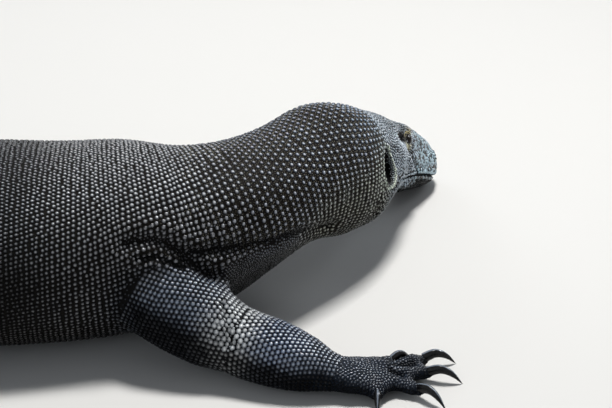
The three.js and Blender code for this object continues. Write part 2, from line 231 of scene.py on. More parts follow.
def onBody(points):
    # Station along the body, and angle from the back: 0 on top, to pi under the belly, plus on the left.
    found = np.empty(len(points), int)
    batch = 20000  # points at a time, to spare memory
    for start in range(0, len(points), batch):
        part = points[start:start + batch]
        far = (part ** 2).sum(1)[:, None] - 2 * part @ centres.T + (centres ** 2).sum(1)
        found[start:start + batch] = far.argmin(1)
    away = points - centres[found]
    angle = np.arctan2((away * lefts[found]).sum(1), (away * ups[found]).sum(1))
    return stations[found] + (away * forwards[found]).sum(1), angle


# Skin: one closed form over all the flesh
skinSet = {
    "voxel": 0.0066, "formVoxel": 0.008, "grow": 0.0012, "coatDepth": 0.0018, "lowest": 0.4,
    "rounds": {"trunk": 70, "head": 9, "upper": 26, "lower": 20, "foot": 5, "tail_middle": 26,
               "tail_tip": 12},
}


def joinedCopy(names, label):
    activate(None)
    for name in names:
        piece = placed(label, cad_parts[name].data.copy())
        piece.select_set(True)
        bpy.context.view_layer.objects.active = piece
    bpy.ops.object.join()
    piece = bpy.context.object
    bpy.ops.object.mode_set(mode="EDIT")
    bpy.ops.mesh.select_all(action="SELECT")
    bpy.ops.mesh.remove_doubles(threshold=1e-5)
    bpy.ops.object.mode_set(mode="OBJECT")
    piece.name = label
    return piece


def treeOf(piece):
    mesh = piece.data
    return BVHTree.FromPolygons([v.co[:] for v in mesh.vertices], [p.vertices[:] for p in mesh.polygons])


def nearest(tree, points):
    # Closest point, its normal and its face for each point.
    found = [tree.find_nearest(p) for p in points]
    return tuple(np.array([f[i] for f in found]) for i in range(3))


class Neighbours:
    # The edges of a mesh, to spread values over it.

    def __init__(self, mesh):
        pairs = np.empty(len(mesh.edges) * 2, np.int32)
        mesh.edges.foreach_get("vertices", pairs)
        pairs = pairs.reshape(-1, 2)
        both = np.concatenate((pairs, pairs[:, ::-1]))
        both = both[np.argsort(both[:, 0], kind="stable")]
        self.others = both[:, 1]
        self.starts = np.searchsorted(both[:, 0], np.arange(len(mesh.vertices)))
        self.count = np.diff(np.append(self.starts, len(both)))

    def relaxed(self, values, rounds, share=0.5, limit=None):
        values = values.copy()
        for turn in range(rounds):
            mean = np.add.reduceat(values[self.others], self.starts, axis=0)
            mean = mean / (self.count[:, None] if values.ndim > 1 else self.count)
            part = share if limit is None else share * np.clip(limit - turn, 0, 1)
            if values.ndim > 1 and limit is not None:
                part = part[:, None]
            values += part * (mean - values)
        return values


groupOfPart = {part: group for parts in limbParts.values()
               for part, group in zip(parts, ("upper", "lower", "foot"))}


def groupOf(name):
    if name in headNodes:
        return "head"
    part = name.rsplit("_", 1)[0]
    if part in groupOfPart:
        return groupOfPart[part]
    return name if name in skinSet["rounds"] else "trunk"


# The bare solids, to measure against and to tell which part a place is on
solids = joinedCopy(fleshNodes + ["eye_right", "eye_left"], "solids")
solidTree = treeOf(solids)
partPoints, partFaces, faceNode = [], [], []
for name in fleshNodes:
    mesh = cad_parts[name].data
    first = len(partPoints)
    partPoints += [v.co[:] for v in mesh.vertices]
    partFaces += [tuple(first + i for i in p.vertices) for p in mesh.polygons]
    faceNode += [name] * len(mesh.polygons)
nodeTree = BVHTree.FromPolygons(partPoints, partFaces)
faceNode = np.array(faceNode)


def smoothForm(names, label, voxel):
    # One smooth closed surface over the named solids, just inside them.
    form = joinedCopy(names, label)
    finishWith(form, "DISPLACE", strength=skinSet["grow"], mid_level=0)
    finishWith(form, "REMESH", mode="VOXEL", voxel_size=voxel)
    mesh = form.data
    places = vertexArray(mesh)
    _, _, face = nearest(nodeTree, places)
    limit = np.array([skinSet["rounds"][groupOf(name)] for name in faceNode[face]], float)
    limit *= (skinSet["voxel"] / voxel) ** 2
    around = Neighbours(mesh)
    limit = around.relaxed(limit, 6)
    places = around.relaxed(places, int(limit.max()), limit=limit)
    setVertices(mesh, places)
    for _ in range(2):  # put back what smoothing took, without its facets
        normals = vertexArray(mesh, "normal")
        hit, turned, _ = nearest(solidTree, places)
        out = ((places - hit) * turned).sum(1)
        out = around.relaxed(out, 40)
        places = places - normals * (out + skinSet["coatDepth"])[:, None]
        places[:, 2] = np.maximum(places[:, 2], skinSet["coatDepth"] * skinSet["lowest"])
        setVertices(mesh, places)
    return form


skin = smoothForm(fleshNodes + ["eye_right", "eye_left"], "skin", skinSet["voxel"])
print("skin", len(skin.data.vertices), "vertices")
bodyForm = smoothForm([*headNodes, *trunkNodes], "bodyForm", skinSet["formVoxel"])
bodyTree = treeOf(bodyForm)


def refine(piece, chosen, rounds):
    # Halves the faces whose corners are all chosen by place, and eases the new vertices.
    mesh = piece.data
    keep = chosen(vertexArray(mesh))
    activate(piece)
    bpy.ops.object.mode_set(mode="EDIT")
    bpy.ops.mesh.select_mode(type="VERT")
    bpy.ops.mesh.select_all(action="DESELECT")
    bpy.ops.object.mode_set(mode="OBJECT")
    mesh.vertices.foreach_set("select", keep)
    bpy.ops.object.mode_set(mode="EDIT")
    bpy.ops.mesh.select_mode(type="FACE")
    bpy.ops.mesh.subdivide(number_cuts=1, smoothness=0)
    bpy.ops.object.mode_set(mode="OBJECT")
    places = vertexArray(mesh)
    limit = chosen(places) * float(rounds)
    setVertices(mesh, Neighbours(mesh).relaxed(places, rounds, limit=limit))


zones = {"head": -0.040, "footRound": 0.15, "footHigh": 0.045, "eye": 0.026, "lids": 0.017, "ear": 1.9,
         "mouthFrom": 0.022, "mouth": 0.007, "noseFrom": 0.155, "noseOver": -0.02}


def onHead(points):
    return headPlace(points)[:, 0] > zones["head"]


def onFoot(points):
    near = np.zeros(len(points), bool)
    for limb in limbs.values():
        near |= (apart(points, limb["palm"]) < zones["footRound"]) & (points[:, 2] < zones["footHigh"])
    return near


def mouthHeight(t):
    return np.interp(t, [p[0] for p in mouthLine], [p[1] for p in mouthLine])


farRing = 9.0  # well outside any opening


def earRing(t, l, u):
    # 1 on the rim of the ear opening, 0 at its middle, and how far forward of its middle line.
    cos, sin = math.cos(ear["slant"]), math.sin(ear["slant"])
    x, y = t - ear["at"][0], u - ear["at"][2]
    ahead, up = x * cos - y * sin, x * sin + y * cos
    width = ear["half"][0] * (1 - ear["narrow"] * up / ear["half"][1])  # widest low down
    ring = np.sqrt((ahead / width) ** 2 + (up / ear["half"][1]) ** 2)
    return np.where(abs(l) > ear["from"], ring, farRing), ahead


def noseRing(t, l, u):
    (forward, up), (halfLong, halfTall) = nostril["at"], nostril["half"]
    ring = np.hypot((t - forward) / halfLong, (u - up) / halfTall)
    return np.where((abs(l) > nostril["from"]) & (t > 0.1), ring, farRing)


def toEye(t, l, u):
    return np.linalg.norm(np.stack((t - eye["at"][0], abs(l) - eye["at"][1], u - eye["at"][2])), axis=0)


def onFace(points):
    t, l, u = headPlace(points).T
    nearEye = toEye(t, l, u) < zones["eye"]
    nearEar = earRing(t, l, u)[0] < zones["ear"]
    nearMouth = (t > zones["mouthFrom"]) & (abs(u - mouthHeight(t)) < zones["mouth"])
    nearNose = (t > zones["noseFrom"]) & (u > zones["noseOver"])
    return nearEye | nearEar | nearMouth | nearNose


def onLids(points):
    return toEye(*headPlace(points).T) < zones["lids"]


# Folds of loose hide: depth, width, and marks along each, which are a section, how far past it, and
# degrees from the top
sideFolds = (
    (0.0050, 0.0100, (("shoulders", 0.010, 74), ("shoulders", 0.042, 80), ("neckBase", -0.010, 90),
                      ("neckBase", 0.018, 97), ("neckBase", 0.042, 107), ("neckHalf", 0.013, 135))),
    (0.0070, 0.0115, (("chest", 0.026, 60), ("chest", 0.038, 59), ("chest", 0.050, 59),
                      ("chest", 0.066, 63), ("shoulders", -0.003, 71), ("shoulders", 0.006, 82),
                      ("shoulders", 0.012, 93), ("shoulders", 0.020, 100))),
    (0.0040, 0.0060, (("chest", 0.036, 69), ("chest", 0.056, 70), ("shoulders", -0.014, 76),
                      ("shoulders", -0.006, 84))),
)
armFolds = ((0.0045, 0.0050, ((0.404, -0.128, 0.100), (0.411, -0.148, 0.089), (0.413, -0.164, 0.066))),)
cheekFolds = (  # on the side of the head, forward and up
    (0.0034, 0.0046, ((0.072, 0.012), (0.094, 0.001), (0.113, -0.010), (0.125, -0.020), (0.113, -0.030))),
    (0.0014, 0.0026, ((0.084, 0.010), (0.100, -0.002), (0.124, -0.010))),
    (0.0020, 0.0034, ((0.036, -0.025), (0.022, -0.035), (0.008, -0.054))),
    (0.0010, 0.0024, ((0.112, -0.012), (0.150, -0.011), (0.186, -0.010))),
)


def foldLine(marks, side):
    places = []
    for section, past, degrees in marks:
        k = int((placeOf[section] + past) / lineStep)
        angle = math.radians(degrees)
        way = ups[k] * math.cos(angle) + lefts[k] * side * math.sin(angle)
        places.append(bodyTree.ray_cast(centres[k], way, 0.4)[0])
    return nearest(skinTree, places)[0]


def toLine(points, line):
    # Distance of each point from a line of straight lengths.
    line = np.array(line)
    best = np.full(len(points), 1.0)
    for a, b in zip(line, line[1:]):
        share = np.clip((points - a) @ (b - a) / ((b - a) @ (b - a)), 0, 1)
        best = np.minimum(best, apart(points - a, share[:, None] * (b - a)))
    return best


skinTree = treeOf(skin)
folds = [(deep, wide, foldLine(marks, side)) for deep, wide, marks in sideFolds for side in (-1, 1)]
folds += [(deep, wide, np.array(line)) for deep, wide, line in armFolds]
toeFold = {"deep": 0.0058, "wide": 0.0066, "shares": (0.42, 0.60, 0.78, 0.94, 1.08, 1.20)}
for limb in limbs.values():  # a groove between each two neighbouring toes
    palm = limb["palm"]
    for (turn, reach, _), (nextTurn, nextReach, _) in zip(limb["digits"][:3], limb["digits"][1:4]):
        way = math.radians(limb["heading"] - limb["side"] * (turn + nextTurn) / 2)
        line = []
        for share in toeFold["shares"]:
            out = share * (reach + nextReach) / 2
            above = Vector((palm[0] + out * math.cos(way), palm[1] + out * math.sin(way), 0.1))
            hit = skinTree.ray_cast(above, Vector((0, 0, -1)), 0.2)[0]
            if hit is not None:
                line.append(hit)
        folds.append((toeFold["deep"], toeFold["wide"], np.array(line)))


foldSet = {"swell": 0.36, "swellAt": 1.75, "swellWide": 0.9, "grooveWide": 0.75, "near": 1.9, "dark": 0.004}


def onFold(points):
    near = np.zeros(len(points), bool)
    for _, wide, line in folds:
        near |= toLine(points, line) < foldSet["near"] * wide
    return near & ~onHead(points)


refine(skin, lambda points: onHead(points) | onFoot(points), 3)
refine(skin, onFold, 2)
refine(skin, onFace, 3)
refine(skin, onLids, 2)
print("skin refined", len(skin.data.vertices), "vertices")


cheekSet = {"from": (-0.01, 0.018), "dark": 0.0020, "muscle": 0.0026, "behind": 0.010, "wide": 0.007}


def cheekLift(t, l, u):
    flat = np.stack((t, u), axis=1)
    lift, dark = np.zeros(len(t)), np.zeros(len(t))
    on = (abs(l) > cheekSet["from"][1]) & (t > cheekSet["from"][0])
    for i, (deep, wide, line) in enumerate(cheekFolds):
        far = toLine(flat[on], line)
        lift[on] -= deep * bell(far, wide)
        # painted shade along the fold, full where the fold is deep enough
        shade = 1 - smoothStep(far, 0.45 * wide, 0.95 * wide)
        dark[on] = np.maximum(dark[on], shade * min(1, deep / cheekSet["dark"]))
        if i == 0:  # the jaw muscle bulges behind its front edge
            behind = t[on] < np.interp(u[on], *np.array(line)[::-1, ::-1].T)
            lift[on] += (cheekSet["muscle"] * bell(far - cheekSet["behind"], cheekSet["wide"]) * behind
                         * smoothStep(-u[on], -0.010, 0.002))
    return lift, dark


def sculptFolds(places, normals):
    lift = np.zeros(len(places))
    for deep, wide, line in folds:
        far = toLine(places, line)
        swell = foldSet["swell"] * bell(far - foldSet["swellAt"] * wide, foldSet["swellWide"] * wide)
        lift += deep * (swell - bell(far, foldSet["grooveWide"] * wide))
    return places + normals * (lift * ~onHead(places))[:, None]


# Bumps and hollows on both sides of the head: height, then middle and width forwards, aside and up.
# One with no width aside takes all that is further out.
headBumps = {
    "brow": (0.0028, (0.093, 0.019), (0.034, 0.007), (0.044, 0.009)),
    "behindEye": (-0.0060, (0.042, 0.0230), (0.052, 0.020), (0.0235, 0.0100)),
    "underEye": (-0.0026, (0.084, 0.010), (0.03, None), (0.005, 0.0035)),
    "snoutRidge": (0.0016, (0.145, 0.034), (0.012, None), (0.022, 0.006)),
}
mouthSet = {"span": (0.034, 0.050, 0.23), "groove": (-0.0030, 0.0014), "upperLip": (0.0011, 0.0050, 0.003),
            "lowerLip": (0.0007, 0.0050, 0.003)}
noseSet = {"blunt": 0.0034, "from": (0.185, 0.203), "rim": (0.0012, 1.45, 0.35),
           "hole": (0.0046, 0.45, 1.05)}
earSet = {"edge": (0.75, 1.08), "rim": (0.0036, 1.26, 0.15), "ahead": (0.000, 0.006)}
lidSet = {"near": 0.022, "base": 0.78, "rise": (0.33, 0.84, 1.08), "edge": (0.05, 1.16, 0.13),
          "brow": (0.0010, 0.002, 0.007), "furrow": (0.0009, 1.42, 0.10), "hold": (1.30, 1.85)}


def spot(place, height, forward, aside, up):
    t, l, u = place
    across = bell(abs(l) - aside[0], aside[1]) if aside[1] else abs(l) > aside[0]
    return height * bell(t - forward[0], forward[1]) * across * bell(u - up[0], up[1])


def sculptHead(places, normals):
    p = headPlace(places)
    n = normals @ headAxes.T
    t, l, u = p.T
    side = np.sign(l)
    on = onHead(places)
    lift = cheekLift(t, l, u)[0]
    # mouth: a groove, with the lips full above and under it
    fromMouth = u - mouthHeight(t)
    first, whole, last = mouthSet["span"]
    deep, wide = mouthSet["groove"]
    upper, upperAt, upperWide = mouthSet["upperLip"]
    lower, lowerAt, lowerWide = mouthSet["lowerLip"]
    lift += smoothStep(t, first, whole) * (t < last) * (
        deep * bell(fromMouth, wide) + upper * bell(fromMouth - upperAt, upperWide)
        + lower * bell(fromMouth + lowerAt, lowerWide))
    for bump in headBumps.values():
        lift += spot((t, l, u), *bump)
    lift += noseSet["blunt"] * smoothStep(t, *noseSet["from"]) * bell(u + 0.006, 0.011)
    nose = noseRing(t, l, u)
    rim, rimAt, rimWide = noseSet["rim"]
    hole, inner, outer = noseSet["hole"]
    lift += rim * bell(nose - rimAt, rimWide) - hole * (1 - smoothStep(nose, inner, outer))
    # ear opening with a raised rim in front
    ring, ahead = earRing(t, l, u)
    rim, rimAt, rimWide = earSet["rim"]
    p[:, 1] -= side * ear["deep"] * (1 - smoothStep(ring, *earSet["edge"]))
    lift += rim * bell(ring - rimAt, rimWide) * smoothStep(ahead, *earSet["ahead"])
    p += n * (lift * on)[:, None]
    for way in (-1, 1):
        p = shapeLids(p, way)
    return np.where(on[:, None], headBase + p @ headAxes, places)


def shapeLids(p, way):
    # Draws the skin round one eye to the height of its lids over the ball.
    centre, axis, across, upright = eyeFrame(way)
    v = p - centre
    far = np.linalg.norm(v, axis=1)
    y = v @ upright
    ring = np.hypot(v @ across / eye["open"][0], y / eye["open"][1])
    near = (far < lidSet["near"]) & (v @ axis > 0)
    rise, riseFrom, riseTo = lidSet["rise"]
    edge, edgeAt, edgeWide = lidSet["edge"]
    brow, browFrom, browTo = lidSet["brow"]
    furrow, furrowAt, furrowWide = lidSet["furrow"]
    height = eye["radius"] * (lidSet["base"] + rise * smoothStep(ring, riseFrom, riseTo)
                              + edge * bell(ring - edgeAt, edgeWide))
    height += (brow * smoothStep(y, browFrom, browTo) * (ring > 0.9)
               - furrow * bell(ring - furrowAt, furrowWide))
    hold = np.where(near, 1 - smoothStep(ring, *lidSet["hold"]), 0)
    return p + unit(v) * ((height - far) * hold)[:, None]


def eyeFrame(way):
    # Centre of an eye in the head's axes, the way it looks, and across and up its opening.
    mirror = np.array((1, way, 1))
    axis = unit(np.array(eye["looks"])) * mirror
    across = unit(np.cross(np.cross(axis, (1, 0, 0)), axis))
    upright = np.cross(across, axis)
    return np.array(eye["at"]) * mirror, axis, across, upright * np.sign(upright[2])


skinMesh = skin.data
setVertices(skinMesh, sculptFolds(vertexArray(skinMesh), vertexArray(skinMesh, "normal")))
setVertices(skinMesh, sculptHead(vertexArray(skinMesh), vertexArray(skinMesh, "normal")))
skinMesh.shade_smooth()
skinTree = treeOf(skin)
print("skin sculpted")


# Markings and painted light and shade: painted once on the skin, and taken up by each scale from its root
def colour(text):
    # Linear red, green and blue of a colour written as hex.
    values = np.array([int(text[i:i + 2], 16) for i in (1, 3, 5)]) / 255
    return np.where(values <= 0.04045, values / 12.92, ((values + 0.055) / 1.055) ** 2.4)


colours = {name: colour(text) for name, text in {
    "back": "#1f2227", "shadedFlank": "#0f0f10", "belly": "#141313", "shoulder": "#303237", "litHump": "#56595f",
    "neck": "#373f4c", "throat": "#52533f", "nape": "#53677f", "crown": "#57646f", "cheek": "#96a5b2",
    "snout": "#9cb4c1", "jawShade": "#101316", "earRim": "#dde8da", "lid": "#eceac8", "ochre": "#a8995c",
    "socket": "#040404", "limb": "#1e2838", "shin": "#32425f", "elbow": "#8f9498", "shade": "#060607",
    "hand": "#1f2938", "toeShade": "#0b0c0e", "granule": "#7d796a", "dark": "#030303",
    "trunkGap": "#0a0907", "bellyGap": "#080706", "neckGap": "#0e0a06", "throatGap": "#100c07",
    "headGap": "#0a0b0d", "snoutGap": "#2a3235", "limbGap": "#050608",
}.items()}
turns = {  # degrees from the top of the back between which a colour comes in
    "low": (118, 158), "shadedFlank": (40, 80), "bellyGap": (80, 140), "litHump": (20, 62), "throat": (72, 112),
    "shoulderGap": (-120, -60), "neckGap": (-125, -85), "nape": (-110, -50),
}
headSpots = {  # middle and width forwards, aside and up
    "ear": ((-0.036, 0.020), (0.03, None), (-0.020, 0.045)),
    "brow": ((0.100, 0.011), (0.036, 0.008), (0.0355, 0.0045)),
    "socket": ((0.063, 0.0190), (0.048, 0.020), (0.0240, 0.0085)),
    "underEye": ((0.079, 0.0100), (0, None), (0.0115, 0.0052)),
}
limbMarks = {"shin": (-0.15, -0.02), "elbowAt": 0.014, "elbowWide": 0.026, "elbowRound": (0.045, 0.085),
             "elbowShare": {"fore": 0.9, "hind": 0.45}, "hand": (0.06, 0.13), "toesAt": 0.085,
             "toesWide": 0.034, "toesHigh": 0.035, "toeTops": (0.78, 0.98),
             "footUnder": (-0.86, -0.25), "legUnder": (-0.76, -0.16)}


class Layer:
    # One colour for each place, with others laid over it by weight.

    def __init__(self, name, count):
        self.values = np.tile(colours[name], (count, 1))

    def lay(self, name, weight, share=1):
        self.values = self.values + (colours[name] * share - self.values) * weight[:, None]


def paintTrunk(hide, gap, places, onSkull):
    s, angle = onBody(places)
    turned = np.degrees(abs(angle))
    low = smoothStep(turned, *turns["low"])
    # painted shade: the sides darker than the back, as under a light from above
    hide.lay("shadedFlank", smoothStep(turned, *turns["shadedFlank"]))
    hide.lay("belly", low)
    gap.lay("bellyGap", smoothStep(turned, *turns["bellyGap"]))
    toShoulder = smoothStep(s, placeOf["ribs"], placeOf["shoulders"]) * (1 - low)
    toNeck = smoothStep(s, placeOf["shoulders"] - 0.01, placeOf["neckHalf"])
    hide.lay("shoulder", toShoulder)
    # painted light: the top of the shoulders paler, as under a light from above
    hide.lay("litHump", toShoulder * (1 - smoothStep(turned, *turns["litHump"])))
    gap.lay("neckGap", toShoulder * 0.6 * smoothStep(-turned, *turns["shoulderGap"]))
    hide.lay("neck", toNeck)
    gap.lay("neckGap", toNeck * smoothStep(-turned, *turns["neckGap"]))
    onThroat = smoothStep(s, placeOf["neckBase"], placeOf["neckHalf"])
    lowNeck = toNeck * smoothStep(turned, *turns["throat"]) * onThroat
    hide.lay("throat", lowNeck * 0.8)
    gap.lay("throatGap", lowNeck)
    nearHead = smoothStep(s, placeOf["neckTop"] - 0.03, placeOf["nape"] + 0.02)
    hide.lay("nape", nearHead * smoothStep(-turned, *turns["nape"]))
    hide.lay("cheek", onSkull)


def paintHead(hide, gap, places, onSkull):
    t, l, u = headPlace(places).T
    hide.lay("crown", onSkull * smoothStep(u, 0.020, 0.038) * smoothStep(-t, -0.10, -0.07))
    gap.lay("headGap", onSkull)
    toSnout = smoothStep(t, 0.100, 0.130)
    hide.lay("snout", toSnout)
    gap.lay("snoutGap", toSnout)
    # painted shade under the jaw, and just under the mouth line towards the snout
    fromLip = mouthHeight(t) - u
    underJaw = smoothStep(fromLip, 0.008, 0.018) * (0.5 + 0.5 * smoothStep(t, 0.05, 0.08))
    underLip = smoothStep(fromLip, 0.0005, 0.005) * smoothStep(t, 0.115, 0.135)
    jawShade = onSkull * np.maximum(underJaw, underLip)
    hide.lay("jawShade", jawShade)
    gap.lay("dark", jawShade * 0.7)
    # ear: a pale rim in front of a hollow painted dark as shade, and cream scales behind it and down to the
    # jaw's angle
    ring, ahead = earRing(t, l, u)
    hide.lay("earRim", spot((t, l, u), 1, *headSpots["ear"]) * 0.30)
    rim = bell(ring - 1.24, 0.08) * (0.45 + 0.55 * smoothStep(ahead, -0.001, 0.004))
    hide.lay("earRim", np.minimum(rim * 1.4, 1))
    gap.lay("earRim", rim, share=0.9)
    # painted shade in the ear opening
    pit = 1 - smoothStep(ring, 1.00, 1.13)
    hide.lay("dark", pit)
    gap.lay("dark", pit)
    # brow, painted shade in the hollow behind the eye, and lids
    hide.lay("ochre", spot((t, l, u), 1, *headSpots["brow"]) * 0.80)
    socket = spot((t, l, u), 1, *headSpots["socket"])
    hide.lay("socket", smoothStep(socket, 0.20, 0.60))
    gap.lay("dark", smoothStep(socket, 0.15, 0.50))
    for way in (-1, 1):
        paintLids(hide, gap, headPlace(places), way)
    # painted shade in the nostril
    gap.lay("dark", 1 - smoothStep(noseRing(t, l, u), 0.7, 1.1))
    # painted shade along the groove of the mouth
    lips = bell(u - mouthHeight(t), 0.0018) * smoothStep(t, 0.034, 0.046)
    gap.lay("dark", lips)
    hide.lay("dark", lips * 0.8)
    # painted shade in the cheek folds
    crease = cheekLift(t, l, u)[1] * onHead(places)
    hide.lay("socket", crease * 0.92)
    gap.lay("dark", crease)


def paintLids(hide, gap, p, way):
    # Ochre over the eye and dark under it, with a pale patch further down.
    centre, axis, across, upright = eyeFrame(way)
    v = p - centre
    y = v @ upright
    ring = np.hypot(v @ across / eye["open"][0], y / eye["open"][1])
    close = (np.linalg.norm(v, axis=1) < lidSet["near"]) * (v @ axis > -0.002)
    lids = close * bell(ring - 1.30, 0.22)
    over = smoothStep(y, -0.001, 0.003)
    hide.lay("ochre", np.minimum(lids * 1.3, 1) * over)
    hide.lay("socket", lids * (1 - over) * 0.85)
    gap.lay("dark", lids)
    under = close * spot(p.T, 1, *headSpots["underEye"]) * smoothStep(ring, 1.15, 1.4)
    hide.lay("lid", np.minimum(under * 1.5, 1))
    gap.lay("lid", np.minimum(under * 1.2, 1), share=0.6)
    # painted shade inside the eye opening
    inside = close * (1 - smoothStep(ring, 0.98, 1.12))
    hide.lay("dark", inside)
    gap.lay("dark", inside)


def paintLimbs(hide, gap, places, normals, limbShare):
    # Pale at the elbow, partly a painted highlight, and darker at the ends of the digits, mostly painted
    # shade on their sides.
    hide.lay("limb", limbShare)
    gap.lay("limbGap", limbShare)
    for key, limb in limbs.items():
        _, elbow, wrist = limb["joints"]
        past = (places - elbow) @ unit(wrist - elbow)
        hide.lay("shin", smoothStep(-apart(places, wrist), *limbMarks["shin"]) * limbShare)
        # pale patch at the elbow, partly paler scales and partly a painted highlight
        patch = bell(past - limbMarks["elbowAt"], limbMarks["elbowWide"])
        patch = patch * (1 - smoothStep(apart(places, elbow), *limbMarks["elbowRound"]))
        hide.lay("elbow", patch * limbShare * limbMarks["elbowShare"][key[:4]])
    root = 4 * limbShare * (1 - limbShare)  # painted shade in the crease where a limb meets the trunk
    hide.lay("trunkGap", root * 0.45)
    gap.lay("dark", root)
    for limb in limbs.values():
        reach = apart(places, limb["palm"])
        handShare = (1 - smoothStep(reach, *limbMarks["hand"])) * limbShare
        hide.lay("hand", handShare)
        gap.lay("hand", handShare * 0.8, share=0.45)
        # painted shade on the sides of each digit, and a little on its top
        toeShade = bell(reach - limbMarks["toesAt"], limbMarks["toesWide"]) * limbShare
        toeShade = toeShade * (places[:, 2] < limbMarks["toesHigh"])
        hide.lay("toeShade", toeShade * (1 - 0.70 * smoothStep(normals[:, 2], *limbMarks["toeTops"])))


def paint(places, normals, limbShare):
    hide, gap = Layer("back", len(places)), Layer("trunkGap", len(places))
    onSkull = smoothStep(onBody(places)[0], placeOf["nape"] - 0.012, placeOf["ear"] + 0.012)
    paintTrunk(hide, gap, places, onSkull)
    paintHead(hide, gap, places, onSkull)
    paintLimbs(hide, gap, places, normals, limbShare)
    down = -normals[:, 2]
    # painted shade: the trunk darkened towards the belly colour wherever it faces down
    hide.lay("belly", smoothStep(down, -0.05, 0.60) * (1 - onSkull) * (1 - limbShare) * 0.8)
    # painted shade under the legs and feet, darkest where they face down
    under = np.where(onFoot(places), smoothStep(down, *limbMarks["footUnder"]),
                     smoothStep(down, *limbMarks["legUnder"]))
    hide.lay("shade", under * limbShare * 0.95)
    # painted shade along each fold of the hide and each groove between the digits
    for deep, wide, line in folds:
        shade = 1 - smoothStep(toLine(places, line), 0.30 * wide, 0.95 * wide)
        shade = shade * min(1, deep / foldSet["dark"]) * (1 - onSkull)
        hide.lay("dark", shade * 0.93)
        gap.lay("dark", shade)
    return hide.values, gap.values


places = vertexArray(skinMesh)
normals = vertexArray(skinMesh, "normal")
skinNode = faceNode[nearest(nodeTree, places)[2]]
isLimb = np.array([groupOf(name) in ("upper", "lower", "foot") for name in skinNode], float)
limbShare = Neighbours(skinMesh).relaxed(isLimb, 30)
skinHide, skinGap = paint(places, normals, limbShare)


def setColour(mesh, name, values):
    layer = mesh.color_attributes.new(name, "FLOAT_COLOR", "POINT")
    layer.data.foreach_set("color", np.c_[values, np.ones(len(values))].astype(np.float32).ravel())


setColour(skinMesh, "hideColour", skinHide)
setColour(skinMesh, "gapColour", skinGap)
cornerOf = np.array([p.vertices[0] for p in skinMesh.polygons])

# Scales
scaleSet = {"tiltBack": 0.16, "granuleLift": 0.22, "granuleTall": 2.2, "lowest": 0.0001,
            "unwrapHalf": 0.0015}


def domeShape(sides, rings, name):
    # A scale about 1 from middle to rim, drawn up from its rim and closed. rings are (radius, height).
    activate(None)
    bpy.ops.mesh.primitive_circle_add(vertices=sides, radius=rings[0][0], fill_type="NGON",
                                      location=(0, 0, rings[0][1]))
    piece = bpy.context.object
    piece.name = name
    bpy.ops.object.transform_apply(location=True, rotation=False, scale=False)
    bpy.ops.object.mode_set(mode="EDIT")
    bpy.ops.mesh.select_mode(type="FACE")
    bpy.ops.mesh.select_all(action="SELECT")
    for (r, z), (nextR, nextZ) in zip(rings, rings[1:]):
        bpy.ops.mesh.extrude_region_move(TRANSFORM_OT_translate={"value": (0, 0, nextZ - z)})
        share = max(nextR, 1e-4) / r
        bpy.ops.transform.resize(value=(share, share, 1), center_override=(0, 0, nextZ))
    bpy.ops.mesh.select_all(action="SELECT")
    bpy.ops.mesh.remove_doubles(threshold=0.01)
    bpy.ops.mesh.quads_convert_to_tris()
    endFacingOut()
    points = vertexArray(piece.data)
    faces = np.array([p.vertices[:] for p in piece.data.polygons])
    bpy.data.objects.remove(piece)
    top = max(points[:, 2].max(), 1e-6)
    lift = np.clip(points[:, 2] / top, 0, 1)
    points[:, 0] += scaleSet["tiltBack"] * lift
    return {"points": points, "faces": faces, "lift": lift, "granule": np.zeros(len(points))}


def withGranules(shape, count, away, size):
    # The scale in a ring of small granules.
    one = domeShape(4, ((1.0, -0.5), (0.001, 0.9)), "granule")
    parts = [shape]
    for i in range(count):
        angle = 2 * math.pi * (i + 0.5) / count
        points = one["points"] * (size, size, size * scaleSet["granuleTall"])
        points[:, 0] += away * math.cos(angle)
        points[:, 1] += away * math.sin(angle)
        first = len(shape["points"]) + i * len(points)
        parts.append({"points": points, "faces": one["faces"] + first, "granule": np.ones(len(points)),
                      "lift": scaleSet["granuleLift"] + (1 - scaleSet["granuleLift"]) * one["lift"]})
    return {key: np.concatenate([part[key] for part in parts]) for key in shape}


plainScale = domeShape(6, ((1.0, -0.45), (0.80, 0.55), (0.001, 1.0)), "plainScale")
tailScale = dict(plainScale, lift=np.where(plainScale["lift"] > 0, np.maximum(plainScale["lift"], 0.80), 0))
roundScale = domeShape(6, ((1.0, -0.45), (0.92, 0.40), (0.55, 0.88), (0.001, 1.0)), "roundScale")
fineScale = domeShape(8, ((1.0, -0.45), (0.92, 0.35), (0.62, 0.82), (0.001, 1.0)), "fineScale")
plateScale = domeShape(8, ((1.0, -0.60), (0.94, 0.60), (0.66, 0.95), (0.001, 1.0)), "plateScale")
plateScale["lift"] *= 0.86  # plates get no painted highlight
neckDome = domeShape(7, ((1.0, -0.45), (0.90, 0.40), (0.55, 0.88), (0.001, 1.0)), "neckScale")
neckScale = withGranules(neckDome, 7, 1.32, 0.22)


def setOnSkin(place):
    hit, normal, face = nearest(skinTree, place)
    return hit, normal, cornerOf[face]


